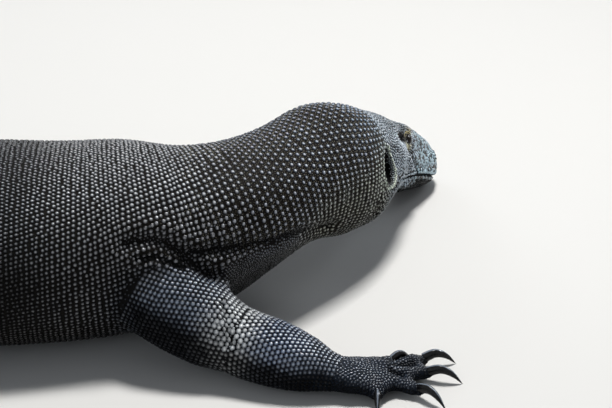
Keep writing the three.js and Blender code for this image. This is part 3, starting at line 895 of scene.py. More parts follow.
def scaleCoat(name, shape, place, normal, corner, lie, half, wrap, tone, jitter=0.06):
    # One coat piece: the shape set at each root, turned to lie along the skin.
    count, size = len(place), len(shape["points"])
    side = unit(np.cross(normal, lie))
    along = np.cross(side, normal)
    turn = draw.normal(0, jitter, count)[:, None]
    along, side = along * np.cos(turn) + side * np.sin(turn), side * np.cos(turn) - along * np.sin(turn)
    half = half * (1 + draw.normal(0, jitter, (count, 1)))
    local = shape["points"][None] * half[:, None]
    points = (place[:, None] + local[..., :1] * along[:, None] + local[..., 1:2] * side[:, None]
              + local[..., 2:] * normal[:, None])
    points[..., 2] = np.maximum(points[..., 2], scaleSet["lowest"])
    faces = (shape["faces"][None] + (np.arange(count) * size)[:, None, None]).reshape(-1, 3)
    mesh = bpy.data.meshes.new(name)
    mesh.vertices.add(count * size)
    mesh.vertices.foreach_set("co", points.astype(np.float32).ravel())
    mesh.loops.add(faces.size)
    mesh.loops.foreach_set("vertex_index", faces.astype(np.int32).ravel())
    mesh.polygons.add(len(faces))
    mesh.polygons.foreach_set("loop_start", np.arange(0, faces.size, 3, dtype=np.int32))
    mesh.update(calc_edges=True)
    hide = skinHide[corner] * tone[:, None]
    hide = np.repeat(hide[:, None], size, axis=1)
    granule = shape["granule"][None, :, None]
    hide = hide * (1 - granule) + granule * (0.15 * hide + 0.85 * colours["granule"])
    setColour(mesh, "hideColour", hide.reshape(-1, 3))
    setColour(mesh, "gapColour", np.repeat(skinGap[corner][:, None], size, axis=1).reshape(-1, 3))
    lift = mesh.attributes.new("lift", "FLOAT", "POINT")
    lift.data.foreach_set("value", np.tile(shape["lift"], count).astype(np.float32))
    flat = shape["points"][:, :2] / np.abs(shape["points"][:, :2]).max() * scaleSet["unwrapHalf"]
    unwrapped = (0.002 + 0.996 * wrap)[:, None] + flat[None]
    unwrapped = unwrapped.reshape(-1, 2)[faces.ravel()]
    mesh.uv_layers.new(name="OFBake").data.foreach_set("uv", unwrapped.astype(np.float32).ravel())
    mesh.shade_smooth()
    mesh.materials.append(scaleMaterial)
    piece = placed(name, mesh)
    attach(piece, "root")
    print(name, count, "scales", len(faces), "triangles")


# Materials
class Graph:
    # The nodes of a material or of the world.

    def __init__(self, owner):
        owner.use_nodes = True
        self.nodes = owner.node_tree.nodes
        self.links = owner.node_tree.links

    def feed(self, target, inputs):
        for key, value in inputs.items():
            if isinstance(value, bpy.types.NodeSocket):
                self.links.new(value, target.inputs[key])
            else:
                target.inputs[key].default_value = value

    def add(self, kind, output, inputs=None, **settings):
        # Adds a node and gives the one of its outputs that is asked for.
        made = self.nodes.new("ShaderNode" + kind)
        for key, value in settings.items():
            setattr(made, key, value)
        self.feed(made, inputs or {})
        return made.outputs[output]

    def attribute(self, name, output):
        return self.add("Attribute", output, attribute_name=name)

    def where(self):
        return self.add("TexCoord", "Object")

    def noise(self, where, scale, detail):
        return self.add("TexNoise", "Fac", {"Vector": where, "Scale": scale, "Detail": detail})

    def ranged(self, value, start, end, low=0.0, high=1.0, **settings):
        return self.add("MapRange", 0, {"Value": value, "From Min": start, "From Max": end,
                                        "To Min": low, "To Max": high}, **settings)

    def math(self, operation, one, other):
        return self.add("Math", 0, {0: one, 1: other}, operation=operation)

    def times(self, one, other):
        return self.math("MULTIPLY", one, other)

    def scaled(self, source, share):
        return self.add("VectorMath", 0, {0: source, "Scale": share}, operation="SCALE")

    def mixed(self, share, base, top):
        return self.add("Mix", 2, {0: share, 6: base, 7: top}, data_type="RGBA")

    def bump(self, height, strength, distance, **settings):
        feeds = {"Height": height, "Strength": strength, "Distance": distance}
        return self.add("Bump", 0, feeds, **settings)


def newMaterial(name):
    material = bpy.data.materials.new(name)
    graph = Graph(material)
    return material, graph, graph.nodes["Principled BSDF"]


def mottledColour(graph, where, source):
    # The painted colour, varied by two sizes of cloud that the skin and the scales share.
    broad = graph.ranged(graph.noise(where, 9.0, 3.0), 0.3, 0.7, 0.78, 1.2)
    fine = graph.ranged(graph.noise(where, 120.0, 2.0), 0.3, 0.7, 0.82, 1.16)
    return graph.scaled(source, graph.times(broad, fine))


def makeScaleMaterial():
    material, graph, shader = newMaterial("scales")
    where = graph.where()
    top = graph.attribute("hideColour", "Color")
    gap = graph.attribute("gapColour", "Color")
    lift = graph.attribute("lift", "Fac")
    share = graph.ranged(lift, 0.20, 0.70, interpolation_type="SMOOTHSTEP")
    body = graph.mixed(share, gap, top)
    # a painted highlight: the top of each scale is paler, but hardly where the paint is dark
    tipHighlight = graph.times(graph.ranged(lift, 0.84, 0.98, interpolation_type="SMOOTHSTEP"),
                      graph.ranged(top, 0.0015, 0.012))
    highlighted = graph.mixed(tipHighlight, body, graph.add("Gamma", 0, {"Color": top, "Gamma": 0.42}))
    grain = graph.noise(where, 1400.0, 2.0)
    lit = graph.times(share, graph.ranged(top, 0.002, 0.030))
    graph.feed(shader, {
        "Base Color": mottledColour(graph, where, highlighted),
        "Roughness": graph.ranged(grain, 0, 1, 0.15, 0.27),
        "Normal": graph.bump(grain, 0.10, 0.0003),
        "Specular IOR Level": graph.ranged(lit, 0, 1, 0.03, 0.60),
    })
    return material


def makeSkinMaterial():
    material, graph, shader = newMaterial("hideSkin")
    where = graph.where()
    cells = graph.add("TexVoronoi", "Distance", {"Vector": where, "Scale": 620.0})
    graph.feed(shader, {
        "Base Color": mottledColour(graph, where, graph.attribute("gapColour", "Color")),
        "Normal": graph.bump(cells, 0.6, 0.0006, invert=True),
        "Roughness": 0.62,
        "Specular IOR Level": 0.06,
    })
    return material


scaleMaterial = makeScaleMaterial()
skinMesh.materials.clear()
skinMesh.materials.append(makeSkinMaterial())

# Rows round the trunk, neck and tail
rowSet = {
    "stray": 0.0006,
    "along": {"tailTip": 3.6, "tailEnd": 4.6, "tailThird": 6.6, "tailBase": 7.0, "hips": 6.8, "belly": 6.4,
              "ribs": 6.2, "shoulders": 6.0, "neckBase": 6.8, "neckHalf": 7.2, "neckTop": 7.0, "nape": 6.0},
    "across": {"tailTip": 3.4, "tailEnd": 4.4, "tailThird": 6.0, "tailBase": 6.4, "hips": 6.2,
               "belly": 5.6, "ribs": 5.5, "shoulders": 6.8, "neckBase": 8.4, "neckHalf": 9.2,
               "neckTop": 8.6, "nape": 6.4},
    "acrossLow": {"shoulders": 5.4, "neckBase": 5.4, "neckHalf": 5.6, "neckTop": 5.4, "nape": 5.2},
    "columns": 48, "fill": 0.50, "rise": 0.34, "toLow": (58, 100), "widen": (0.7, 1.45), "widenAcross": 0.3,
    "tone": 0.13, "low": 0.27, "slim": 0.24, "slimLow": 0.12, "flatter": 0.10, "mixed": 0.6,
}


def named(table, s):
    return np.interp(s, [placeOf[name] for name in table], list(table.values())) * millimetre


def ringPoints(origin, across, upright, tree, angles, reach, usual=None):
    # Where rays from a centre meet a surface, at angles from straight up. A miss takes the usual distance.
    found = np.empty(len(angles))
    for k, angle in enumerate(angles):
        way = upright * math.cos(angle) + across * math.sin(angle)
        distance = tree.ray_cast(origin, way, reach)[3]
        found[k] = np.nan if distance is None else distance
    if np.isnan(found).all():
        return None
    middle = np.nanmedian(found)
    if usual:
        found[found > usual * middle] = np.nan
    found = np.where(np.isnan(found), middle, found)
    ways = np.cos(angles)[:, None] * upright + np.sin(angles)[:, None] * across
    return origin + ways * found[:, None]


def rowPlaces(points, spacing, start):
    # Places along a line at a spacing that may vary along it.
    steps = np.linalg.norm(np.diff(points, axis=0), axis=1)
    middle = (spacing[1:] + spacing[:-1]) / 2
    count = np.concatenate(([0], np.cumsum(steps / middle)))
    wanted = np.arange(start, count[-1] - 0.30, 1.0)
    return (np.stack([np.interp(wanted, count, points[:, k]) for k in range(3)], axis=1),
            np.interp(wanted, count, spacing), np.interp(wanted, count, np.linspace(0, 1, len(points))))


def rowStart(i, side):
    # Every second row is set half a scale on, and only one side has the scale in the middle.
    return 0.5 if i % 2 else (0.0 if side > 0 else 1.0)


def joined(rows):
    return {key: np.concatenate(value) for key, value in rows.items()}


def kept(rows, keep):
    return {key: value[keep] for key, value in rows.items()}


def trunkRows():
    steps = 1 / named(rowSet["along"], stations)
    count = np.concatenate(([0], np.cumsum((steps[1:] + steps[:-1]) / 2 * lineStep)))
    last = np.interp(placeOf["ear"] - 0.020, stations, count)
    columns = np.linspace(0, math.pi, rowSet["columns"] + 1)
    toLow = smoothStep(columns, *np.radians(rowSet["toLow"]))
    rows = {key: [] for key in ("place", "lie", "along", "across", "s", "round")}
    for i in range(2, int(last)):
        s = np.interp(i, count, stations)
        row = np.interp(s, stations, np.arange(len(stations)))
        k, share = int(row), row % 1
        centre = centres[k] * (1 - share) + centres[min(k + 1, len(centres) - 1)] * share
        spacing = np.full(len(columns), named(rowSet["across"], s))
        if s > placeOf["chest"]:
            toFront = smoothStep(s, placeOf["chest"], placeOf["neckBase"])
            spacing += (named(rowSet["acrossLow"], s) - spacing) * toLow * toFront
        for side in (-1, 1):
            line = ringPoints(centre, lefts[k] * side, ups[k], bodyTree, columns, 0.4)
            if line is None:
                continue
            place, across, turned = rowPlaces(line, spacing, rowStart(i, side))
            stray = draw.normal(0, rowSet["stray"], len(place))
            rows["place"].append(place + forwards[k] * stray[:, None])
            rows["lie"].append(np.tile(-forwards[k], (len(place), 1)))
            rows["along"].append(np.full(len(place), named(rowSet["along"], s)))
            rows["across"].append(across)
            rows["s"].append(np.full(len(place), s))
            rows["round"].append(0.5 + side * 0.5 * turned)
    return joined(rows)


headRoom = {"round": 0.12, "from": -0.033}  # rows end here, where the head's own scales begin
lowCrease = {"round": 0.262, "at": -0.01, "half": 0.045}  # under the neck's base, where rows would pile up

body = trunkRows()
hit, normal, corner = setOnSkin(body["place"])
body.update(place=hit, normal=normal, corner=corner)
groups = [groupOf(name) for name in faceNode[nearest(nodeTree, hit)[2]]]
keep = np.isin(groups, ("trunk", "tail_middle", "tail_tip", "head"))
keep &= ~((headPlace(hit)[:, 0] > headRoom["from"]) & (apart(hit, headBase) < headRoom["round"]))
keep &= ~((abs(body["round"] - 0.5) > lowCrease["round"])
          & (abs(body["s"] - placeOf["neckBase"] - lowCrease["at"]) < lowCrease["half"]))
body = kept(body, keep)
print("trunk rows", len(body["s"]))
# stretched skin round the outside of the neck's bend spreads the rows there
tree = nearTree(body["place"])
near = np.array([np.mean([f[2] for f in tree.find_n(p, 5)[1:]]) for p in body["place"]])
spread = (body["along"] + body["across"]) / 2
wide = np.clip(near / spread, *rowSet["widen"])
tone = 1 + draw.normal(0, rowSet["tone"], len(wide))
halves = np.c_[body["along"] * rowSet["fill"] * wide,
               body["across"] * rowSet["fill"] * wide ** rowSet["widenAcross"], spread * rowSet["rise"]]
s, low = body["s"], abs(body["round"] - 0.5) > rowSet["low"]
toNeck = smoothStep(s, placeOf["shoulders"] - 0.025, placeOf["neckBase"] + 0.030)
granular = (draw.random(len(s)) < toNeck) & ~low  # scales ringed by granules come in bit by bit
small = smoothStep(s, placeOf["shoulders"], placeOf["neckBase"] + 0.020)
halves[:, :2] *= (1 - (rowSet["slim"] - rowSet["slimLow"] * low) * small)[:, None]
halves[:, 2] *= 1 - rowSet["flatter"] * small
hipStart = placeOf["tailBase"] + (tone - 1) * rowSet["mixed"]  # and so do the rounder ones of the hips
bellyStart, ribsStart = placeOf["loin"] + 0.03, placeOf["belly"] + 0.05
shouldersStart = placeOf["chest"] - 0.02
trunkPieces = (("scalesTail", s < hipStart, tailScale),
               ("scalesHips", (s >= hipStart) & (s < bellyStart), roundScale),
               ("scalesBelly", (s >= bellyStart) & (s < ribsStart), roundScale),
               ("scalesRibs", (s >= ribsStart) & (s < shouldersStart), roundScale),
               ("scalesShoulders", (s >= shouldersStart) & ~granular, roundScale),
               ("scalesNeck", granular, neckScale))
for name, on, shape in trunkPieces:
    rows = kept(body, on)
    wrap = np.c_[(rows["s"] - rows["s"].min()) / (np.ptp(rows["s"]) + 0.003), rows["round"]]
    scaleCoat(name, shape, rows["place"], rows["normal"], rows["corner"], rows["lie"],
              halves[on], wrap, tone[on])

taken = KDTree(60000)  # room for every root


def take(place):
    # Notes the roots that are set, so that later rows keep clear of them.
    for p in place:
        taken.insert(p, 0)
    taken.balance()


def clearOf(place, room):
    # Which places have no root within their room.
    return np.array([taken.find(p)[2] > r for p, r in zip(place, room)])


take(body["place"])

# Rows round the limbs
limbRowSet = {
    "upper": {"along": (5.6, 6.2), "across": (6.2, 6.8), "from": 0.0, "past": 0.050},
    "lower": {"along": (6.6, 4.9), "across": (7.8, 5.4), "from": -0.040, "past": 0.012},
    "columns": 20, "reach": 0.10, "usual": 1.4, "halves": (0.63, 0.59, 0.27), "room": 0.62,
    "moved": 0.012, "tone": 0.14, "unwrapPast": 0.09,
}


def limbRows(start, end, rowsOf, nodeName):
    forward = unit(end - start)
    left = unit(np.cross((0, 0, 1), forward))
    up = np.cross(forward, left)
    length = np.linalg.norm(end - start)
    columns = np.linspace(0, math.pi, limbRowSet["columns"] + 1)
    rows = {key: [] for key in ("place", "along", "across", "share", "round")}
    at, i = rowsOf["from"], 0
    while at < length + rowsOf["past"]:
        share = np.clip(at / length, 0, 1)
        along, across = (np.interp(share, (0, 1), rowsOf[key]) * millimetre for key in ("along", "across"))
        for side in (-1, 1):
            line = ringPoints(start + forward * at, left * side, up, skinTree, columns, limbRowSet["reach"],
                              limbRowSet["usual"])
            if line is None:
                continue
            place, _, turned = rowPlaces(line, np.full(len(columns), across), rowStart(i, side))
            rows["place"].append(place)
            rows["along"].append(np.full(len(place), along))
            rows["across"].append(np.full(len(place), across))
            gone = (at - rowsOf["from"]) / (length + limbRowSet["unwrapPast"])
            rows["share"].append(np.full(len(place), gone))
            rows["round"].append(0.5 + side * 0.5 * turned)
        at += along
        i += 1
    rows = joined(rows)
    hit, normal, corner = setOnSkin(rows["place"])
    keep = faceNode[nearest(nodeTree, hit)[2]] == nodeName
    keep &= apart(hit, rows["place"]) < limbRowSet["moved"]
    keep &= clearOf(hit, rows["across"] * limbRowSet["room"])
    rows.update(place=hit, normal=normal, corner=corner)
    rows = kept(rows, keep)
    rows["lie"] = np.tile(forward, (len(rows["place"]), 1))
    take(rows["place"])
    return rows


for end in ("fore", "hind"):
    whole = []
    for which, key in enumerate((f"{end}_right", f"{end}_left")):
        joints = limbs[key]["joints"]
        for j, part in enumerate(("upper", "lower")):
            rows = limbRows(joints[j], joints[j + 1], limbRowSet[part], limbNodes[key][j])
            island = np.array((0.5 * j, 0.5 * which))  # each length has a quarter of the unwrap
            rows["wrap"] = island + 0.49 * np.c_[rows["share"], rows["round"]]
            whole.append(rows)
    rows = {key: np.concatenate([r[key] for r in whole]) for key in whole[0]}
    spread = (rows["along"] + rows["across"]) / 2
    half = np.c_[rows["along"], rows["across"], spread] * limbRowSet["halves"]
    tone = 1 + draw.normal(0, limbRowSet["tone"], len(spread))
    scaleCoat(f"scalesLegs{end.capitalize()}", roundScale, rows["place"], rows["normal"],
              rows["corner"], rows["lie"], half, rows["wrap"], tone)

# Small scales strewn evenly over the head and feet
skinMesh.calc_loop_triangles()
corners = np.array([tri.vertices[:] for tri in skinMesh.loop_triangles])
cornerPlaces = vertexArray(skinMesh)[corners]
triMiddle = cornerPlaces.mean(1)
triArea = np.linalg.norm(np.cross(cornerPlaces[:, 1] - cornerPlaces[:, 0],
                                  cornerPlaces[:, 2] - cornerPlaces[:, 0]), axis=1) / 2
triNode = skinNode[corners[:, 0]]
strewSet = {"packing": 0.866, "reach": 1.12, "push": 0.42, "room": 0.62}


def strewn(chosen, spacingOf, rounds=14):
    # Evenly spread places over the chosen faces of the skin, at a spacing that depends on the place.
    spacing = spacingOf(triMiddle[chosen])
    want = triArea[chosen] / (strewSet["packing"] * spacing ** 2)
    count = int(want.sum())
    pick = draw.choice(np.flatnonzero(chosen), count, p=want / want.sum())
    a, b = draw.random(count), draw.random(count)
    flip = a + b > 1
    a[flip], b[flip] = 1 - a[flip], 1 - b[flip]
    tri = cornerPlaces[pick]
    place = tri[:, 0] + a[:, None] * (tri[:, 1] - tri[:, 0]) + b[:, None] * (tri[:, 2] - tri[:, 0])
    for turn in range(rounds):
        tree = nearTree(place)
        close = np.array([[f[1] for f in tree.find_n(p, 7)] for p in place])[:, 1:]
        spacing = spacingOf(place)
        away = place[:, None] - place[close]
        far = np.linalg.norm(away, axis=2, keepdims=True)
        push = np.clip(1 - far / (spacing[:, None, None] * strewSet["reach"]), 0, 1)
        place = place + (away / np.maximum(far, 1e-6) * push).sum(1) * spacing[:, None] * strewSet["push"]
        if turn % 3 == 2 or turn == rounds - 1:
            place = nearest(skinTree, place)[0]
    return place, spacingOf(place)


def headSpacing(points):
    t, l, u = headPlace(points).T
    spacing = 4.1 + 0.5 * smoothStep(t, 0.09, 0.13) + 0.5 * smoothStep(u, 0.02, 0.04)
    spacing += 0.5 * smoothStep(-(u - mouthHeight(t)), 0.008, 0.03)
    spacing += 1.6 * smoothStep(-t, 0.0, 0.030)  # towards the neck's beads
    spacing -= 1.3 * (1 - smoothStep(toEye(t, l, u), 0.014, 0.030))
    spacing -= 1.2 * (1 - smoothStep(earRing(t, l, u)[0], 1.1, 1.9))
    return spacing * millimetre


def footSpacing(points):
    near = np.full(len(points), 1.0)
    for limb in limbs.values():
        near = np.minimum(near, apart(points, limb["palm"]))
    return (4.5 - 0.9 * smoothStep(near, 0.02, 0.07)) * millimetre


# lips: a row of plates above the mouth and one under it, and round the front of the snout
lipSet = {"step": 0.0050, "lifts": (0.0036, -0.0038), "start": 0.046, "turn": 0.183,
          "degrees": np.arange(-70, 71, 12.5), "half": (2.6, 2.2, 1.0)}


def lipPlates():
    place, lie = [], []
    for lift in lipSet["lifts"]:
        for side in (-1, 1):
            t = lipSet["start"]
            while t < lipSet["turn"]:
                origin = inHead(t, 0, mouthHeight(t) + lift)
                hit = skinTree.ray_cast(origin, headLeft * side, 0.2)[0]
                if hit is not None:
                    place.append(hit)
                    lie.append(-headForward)
                t += lipSet["step"]
        for angle in np.radians(lipSet["degrees"]):
            way = headForward * math.cos(angle) + headLeft * math.sin(angle)
            hit = skinTree.ray_cast(inHead(lipSet["turn"], 0, mouthHeight(0.19) + lift), way, 0.2)[0]
            place.append(hit)
            lie.append(np.cross(headUp, way))
    return np.array(place), np.array(lie)


# lids: rings of small beads round each eye opening, as (ring, half size of a bead)
lidBeadSet = {"count": 30, "rings": ((1.15, 0.00085), (1.42, 0.00110), (1.76, 0.00135)), "clear": 1.95}


def lidBeads():
    place, lie, size = [], [], []
    for way in (-1, 1):
        centre, axis, across, upright = eyeFrame(way)
        for ring, half in lidBeadSet["rings"]:
            for i in range(lidBeadSet["count"]):
                angle = 2 * math.pi * i / lidBeadSet["count"]
                x = eye["open"][0] * ring * math.cos(angle)
                y = eye["open"][1] * ring * math.sin(angle)
                origin = centre + across * x + upright * y + axis * 0.03
                hit = skinTree.ray_cast(headBase + origin @ headAxes, -axis @ headAxes, 0.06)[0]
                if hit is not None:
                    place.append(hit)
                    lie.append((across * -math.sin(angle) + upright * math.cos(angle)) @ headAxes)
                    size.append(half)
    return np.array(place), np.array(lie), np.array(size)


lipPlace, lipLie = lipPlates()
lidPlace, lidLie, lidSize = lidBeads()
take(lipPlace)
take(lidPlace)

headScaleSet = {"besideMouth": 0.0016, "mouthFrom": 0.04, "besideEar": 0.95, "tone": 0.11, "specks": 0.20,
                "fewSpecks": 0.04, "speckTone": 0.09, "fill": 0.45, "snoutFill": 0.06, "across": 0.96,
                "rise": 0.34, "flatter": 0.15, "snoutFrom": 0.096, "jitter": 0.09}
chosen = np.isin(triNode, headNodes)
place, spacing = strewn(chosen, headSpacing)
t, l, u = headPlace(place).T
keep = clearOf(place, spacing * strewSet["room"])
keep &= ~((abs(u - mouthHeight(t)) < headScaleSet["besideMouth"]) & (t > headScaleSet["mouthFrom"]))
keep &= (earRing(t, l, u)[0] > headScaleSet["besideEar"]) & (noseRing(t, l, u) > 1)
for way in (-1, 1):
    centre, axis, across, upright = eyeFrame(way)
    v = headPlace(place) - centre
    ring = np.sqrt((v @ across / eye["open"][0]) ** 2 + (v @ upright / eye["open"][1]) ** 2)
    keep &= ~((ring < lidBeadSet["clear"]) & (np.linalg.norm(v, axis=1) < lidSet["near"]))
place, spacing = place[keep], spacing[keep]
take(place)
hit, normal, corner = setOnSkin(place)
t, l, u = headPlace(hit).T
turn = np.arctan2(l, u)
tone = 1 + draw.normal(0, headScaleSet["tone"], len(hit))
specks = headScaleSet["specks"] * smoothStep(t, 0.08, 0.12) + headScaleSet["fewSpecks"]
tone = np.where(draw.random(len(hit)) < specks, headScaleSet["speckTone"], tone)
flat = smoothStep(t, 0.085, 0.125) + 0.2 * smoothStep(u, 0.022, 0.038)
fill = headScaleSet["fill"] + headScaleSet["snoutFill"] * smoothStep(t, 0.09, 0.12)
rise = headScaleSet["rise"] - headScaleSet["flatter"] * np.clip(flat, 0, 1)
half = np.c_[spacing * fill, spacing * fill * headScaleSet["across"], spacing * rise]
wrap = np.c_[(t + 0.04) / 0.25, 0.5 + turn / (2 * math.pi)]
lie = np.tile(-headForward, (len(hit), 1))
onSnout = t > headScaleSet["snoutFrom"]
headPieces = (("scalesCheeks", roundScale, ~onSnout, wrap * (1.7, 1)),
              ("scalesSnout", plateScale, onSnout, (wrap - (0.5, 0)) * (1.9, 1)))
for name, shape, on, unwrapped in headPieces:
    scaleCoat(name, shape, hit[on], normal[on], corner[on], lie[on], half[on], unwrapped[on],
              tone[on], jitter=headScaleSet["jitter"])

hit, normal, corner = setOnSkin(lipPlace)
t, l, u = headPlace(hit).T
wrap = np.c_[np.clip((t - 0.03) / 0.18, 0, 1), 0.25 + 0.25 * (u > mouthHeight(t)) + 0.5 * (l > 0)]
half = np.tile(np.array(lipSet["half"]) * millimetre, (len(hit), 1))
scaleCoat("scalesLips", plateScale, hit, normal, corner, lipLie, half, wrap,
          1 + draw.normal(0, 0.12, len(hit)), jitter=0.04)
hit, normal, corner = setOnSkin(lidPlace)
order = np.arange(len(hit))
beads = lidBeadSet["count"]
wrap = np.c_[(order % beads + 0.5) / (beads + 1), (order // beads + 0.5) / 7]
half = np.c_[lidSize * 1.15, lidSize, lidSize * 0.8]
scaleCoat("scalesLids", fineScale, hit, normal, corner, lidLie, half, wrap,
          1 + draw.normal(0, 0.10, len(hit)), jitter=0.03)

footScaleSet = {"lowest": 0.0011, "halves": (0.56, 0.50, 0.19), "tone": 0.12, "jitter": 0.08}
for end in ("fore", "hind"):
    whole = []
    for which, key in enumerate((f"{end}_right", f"{end}_left")):
        chosen = triNode == limbNodes[key][2]
        place, spacing = strewn(chosen, footSpacing, rounds=10)
        hit, normal, corner = setOnSkin(place)
        keep = clearOf(hit, spacing * strewSet["room"]) & (hit[:, 2] > footScaleSet["lowest"])
        hit, normal, corner, spacing = hit[keep], normal[keep], corner[keep], spacing[keep]
        take(hit)
        palm = limbs[key]["palm"]
        lie = unit(hit - palm + (1e-4, 0, 0))
        flatPlace = (hit - palm)[:, :2]
        reach = np.abs(flatPlace).max() * 2.04
        wrap = flatPlace / reach * 0.49 + 0.25 + np.array((0.5, 0)) * (normal[:, 2:] < 0) + (0, 0.5 * which)
        whole.append((hit, normal, corner, lie, wrap, spacing))
    hit, normal, corner, lie, wrap, spacing = (np.concatenate(column) for column in zip(*whole))
    half = spacing[:, None] * footScaleSet["halves"]
    scaleCoat(f"scalesFeet{end.capitalize()}", plainScale, hit, normal, corner, lie, half, wrap,
              1 + draw.normal(0, footScaleSet["tone"], len(hit)), jitter=footScaleSet["jitter"])

# Small scales in whatever is still bare
fillSet = {"bare": 0.0043, "bareNeck": 0.0058, "bareElbow": 0.0037, "elbowRound": 0.065, "spacing": 0.0041,
           "room": 0.0030, "rounds": (9, 2), "halves": (0.50, 0.46, 0.34), "bareLowest": 0.0015,
           "lowest": 0.0012, "turned": 0.52, "tone": 0.12, "jitter": 0.10}


def aroundLine(points, start, end):
    # Share along a line, with a little room past its ends, and share of a turn round it.
    forward = unit(end - start)
    side = unit(np.cross((0, 0, 1), forward))
    away = points - start
    turn = np.arctan2(away @ side, away @ np.cross(forward, side))
    along = np.clip(away @ forward / np.linalg.norm(end - start), -0.3, 1.3) / 1.6 + 0.19
    return np.c_[along, 0.5 + turn / 6.2832]


s, angle = onBody(triMiddle)
onNeck = smoothStep(s, placeOf["shoulders"], placeOf["neckBase"])
onNeck = onNeck * (abs(angle) < fillSet["turned"] * math.pi)
bareRoom = fillSet["bare"] + (fillSet["bareNeck"] - fillSet["bare"]) * onNeck
for limb in limbs.values():
    bareRoom[apart(triMiddle, limb["joints"][1]) < fillSet["elbowRound"]] = fillSet["bareElbow"]
filled = []
for rounds in fillSet["rounds"]:  # wide places first, and then the slits between the rows
    bare = ~np.isin(triNode, headNodes) & clearOf(triMiddle, bareRoom)
    bare &= triMiddle[:, 2] > fillSet["bareLowest"]
    place, spacing = strewn(bare, lambda points: np.full(len(points), fillSet["spacing"]), rounds=rounds)
    hit, normal, corner = setOnSkin(place)
    keep = clearOf(hit, np.full(len(hit), fillSet["room"])) & (hit[:, 2] > fillSet["lowest"])
    take(hit[keep])
    filled.append((hit[keep], normal[keep], corner[keep]))
hit, normal, corner = (np.concatenate(column) for column in zip(*filled))
s, angle = onBody(hit)
wrap = np.c_[s / lineAt[-1], 0.5 + angle / (2 * math.pi)] * (1.0, 0.5)
for i, (key, limb) in enumerate(limbs.items()):  # the trunk has half of the unwrap, and each limb an eighth
    on = np.isin(skinNode[corner], limbNodes[key])
    wrap[on] = aroundLine(hit[on], limb["joints"][0], limb["joints"][2]) * (0.24, 0.49) + (0.25 * i, 0.5)
lie = np.tile((1.0, 0.0, 0.0), (len(hit), 1))
half = np.tile(fillSet["halves"], (len(hit), 1)) * fillSet["spacing"]
scaleCoat("scalesFill", plainScale, hit, normal, corner, lie, half, wrap,
          1 + draw.normal(0, fillSet["tone"], len(hit)), jitter=fillSet["jitter"])

# Eyes
eyeSet = {"ball": 0.0097, "cornea": 0.0005, "corneaWide": 0.55, "segments": 40, "rings": 28}
eyeStops = ((0.0, "#040303"), (0.34, "#050404"), (0.38, "#0e0906"), (0.60, "#130c07"), (0.78, "#0a0705"),
            (1.0, "#080605"))  # radians from the middle of the pupil, and the colour there


def setRamp(ramp, stops):
    while len(ramp.elements) < len(stops):
        ramp.elements.new(1)
    for stop, (at, text) in zip(ramp.elements, stops):
        stop.position = at
        stop.color = (*colour(text), 1)


def makeEyeMaterial():
    material, graph, shader = newMaterial("eye")
    base = graph.add("ValToRGB", "Color", {"Fac": graph.attribute("gaze", "Fac")})
    setRamp(base.node.color_ramp, eyeStops)
    streak = graph.noise(graph.where(), 900.0, 3.0)
    graph.feed(shader, {
        "Base Color": graph.scaled(base, graph.ranged(streak, 0, 1, 0.6, 1.4)),
        "Roughness": 0.07,
        "Specular IOR Level": 0.12,
    })
    return material


eyeMaterial = makeEyeMaterial()
for name, way in (("eyeRight", -1), ("eyeLeft", 1)):
    centre, axis, across, upright = eyeFrame(way)
    activate(None)
    bpy.ops.mesh.primitive_uv_sphere_add(segments=eyeSet["segments"], ring_count=eyeSet["rings"],
                                         radius=eyeSet["ball"])
    ball = bpy.context.object
    ball.name = name
    points = vertexArray(ball.data)
    gaze = np.arccos(np.clip(points[:, 2] / np.linalg.norm(points, axis=1), -1, 1))
    points *= (1 + eyeSet["cornea"] / eyeSet["ball"] * bell(gaze, eyeSet["corneaWide"]))[:, None]
    setVertices(ball.data, points @ np.array((across, upright, axis)) @ headAxes + inHead(*centre))
    layer = ball.data.attributes.new("gaze", "FLOAT", "POINT")
    layer.data.foreach_set("value", gaze.astype(np.float32))
    bpy.ops.object.mode_set(mode="EDIT")
    endFacingOut()
    ball.data.shade_smooth()
    ball.data.materials.append(eyeMaterial)
    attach(ball, "root")
    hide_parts("eye_right" if way < 0 else "eye_left")
print("eyes done")

# Claws
clawSet = {
    "stations": (0.0, 0.06, 0.36, 0.74, 1.0), "halves": (5.4, 5.6, 4.9, 3.0, 0.4),
    "heights": (13.5, 14.5, 19.0, 12.5, 0.9), "length": 0.042, "tall": 1.25, "thinnest": 0.0003,
    "sides": 14, "steps": 18, "bend": 22, "lean": 0.8,
    "groove": (0.16, 0.25, 0.30), "keel": (0.22, 0.5), "ridge": 0.34,
}
clawStops = ((0.30, "#060607"), (0.75, "#17181b"))


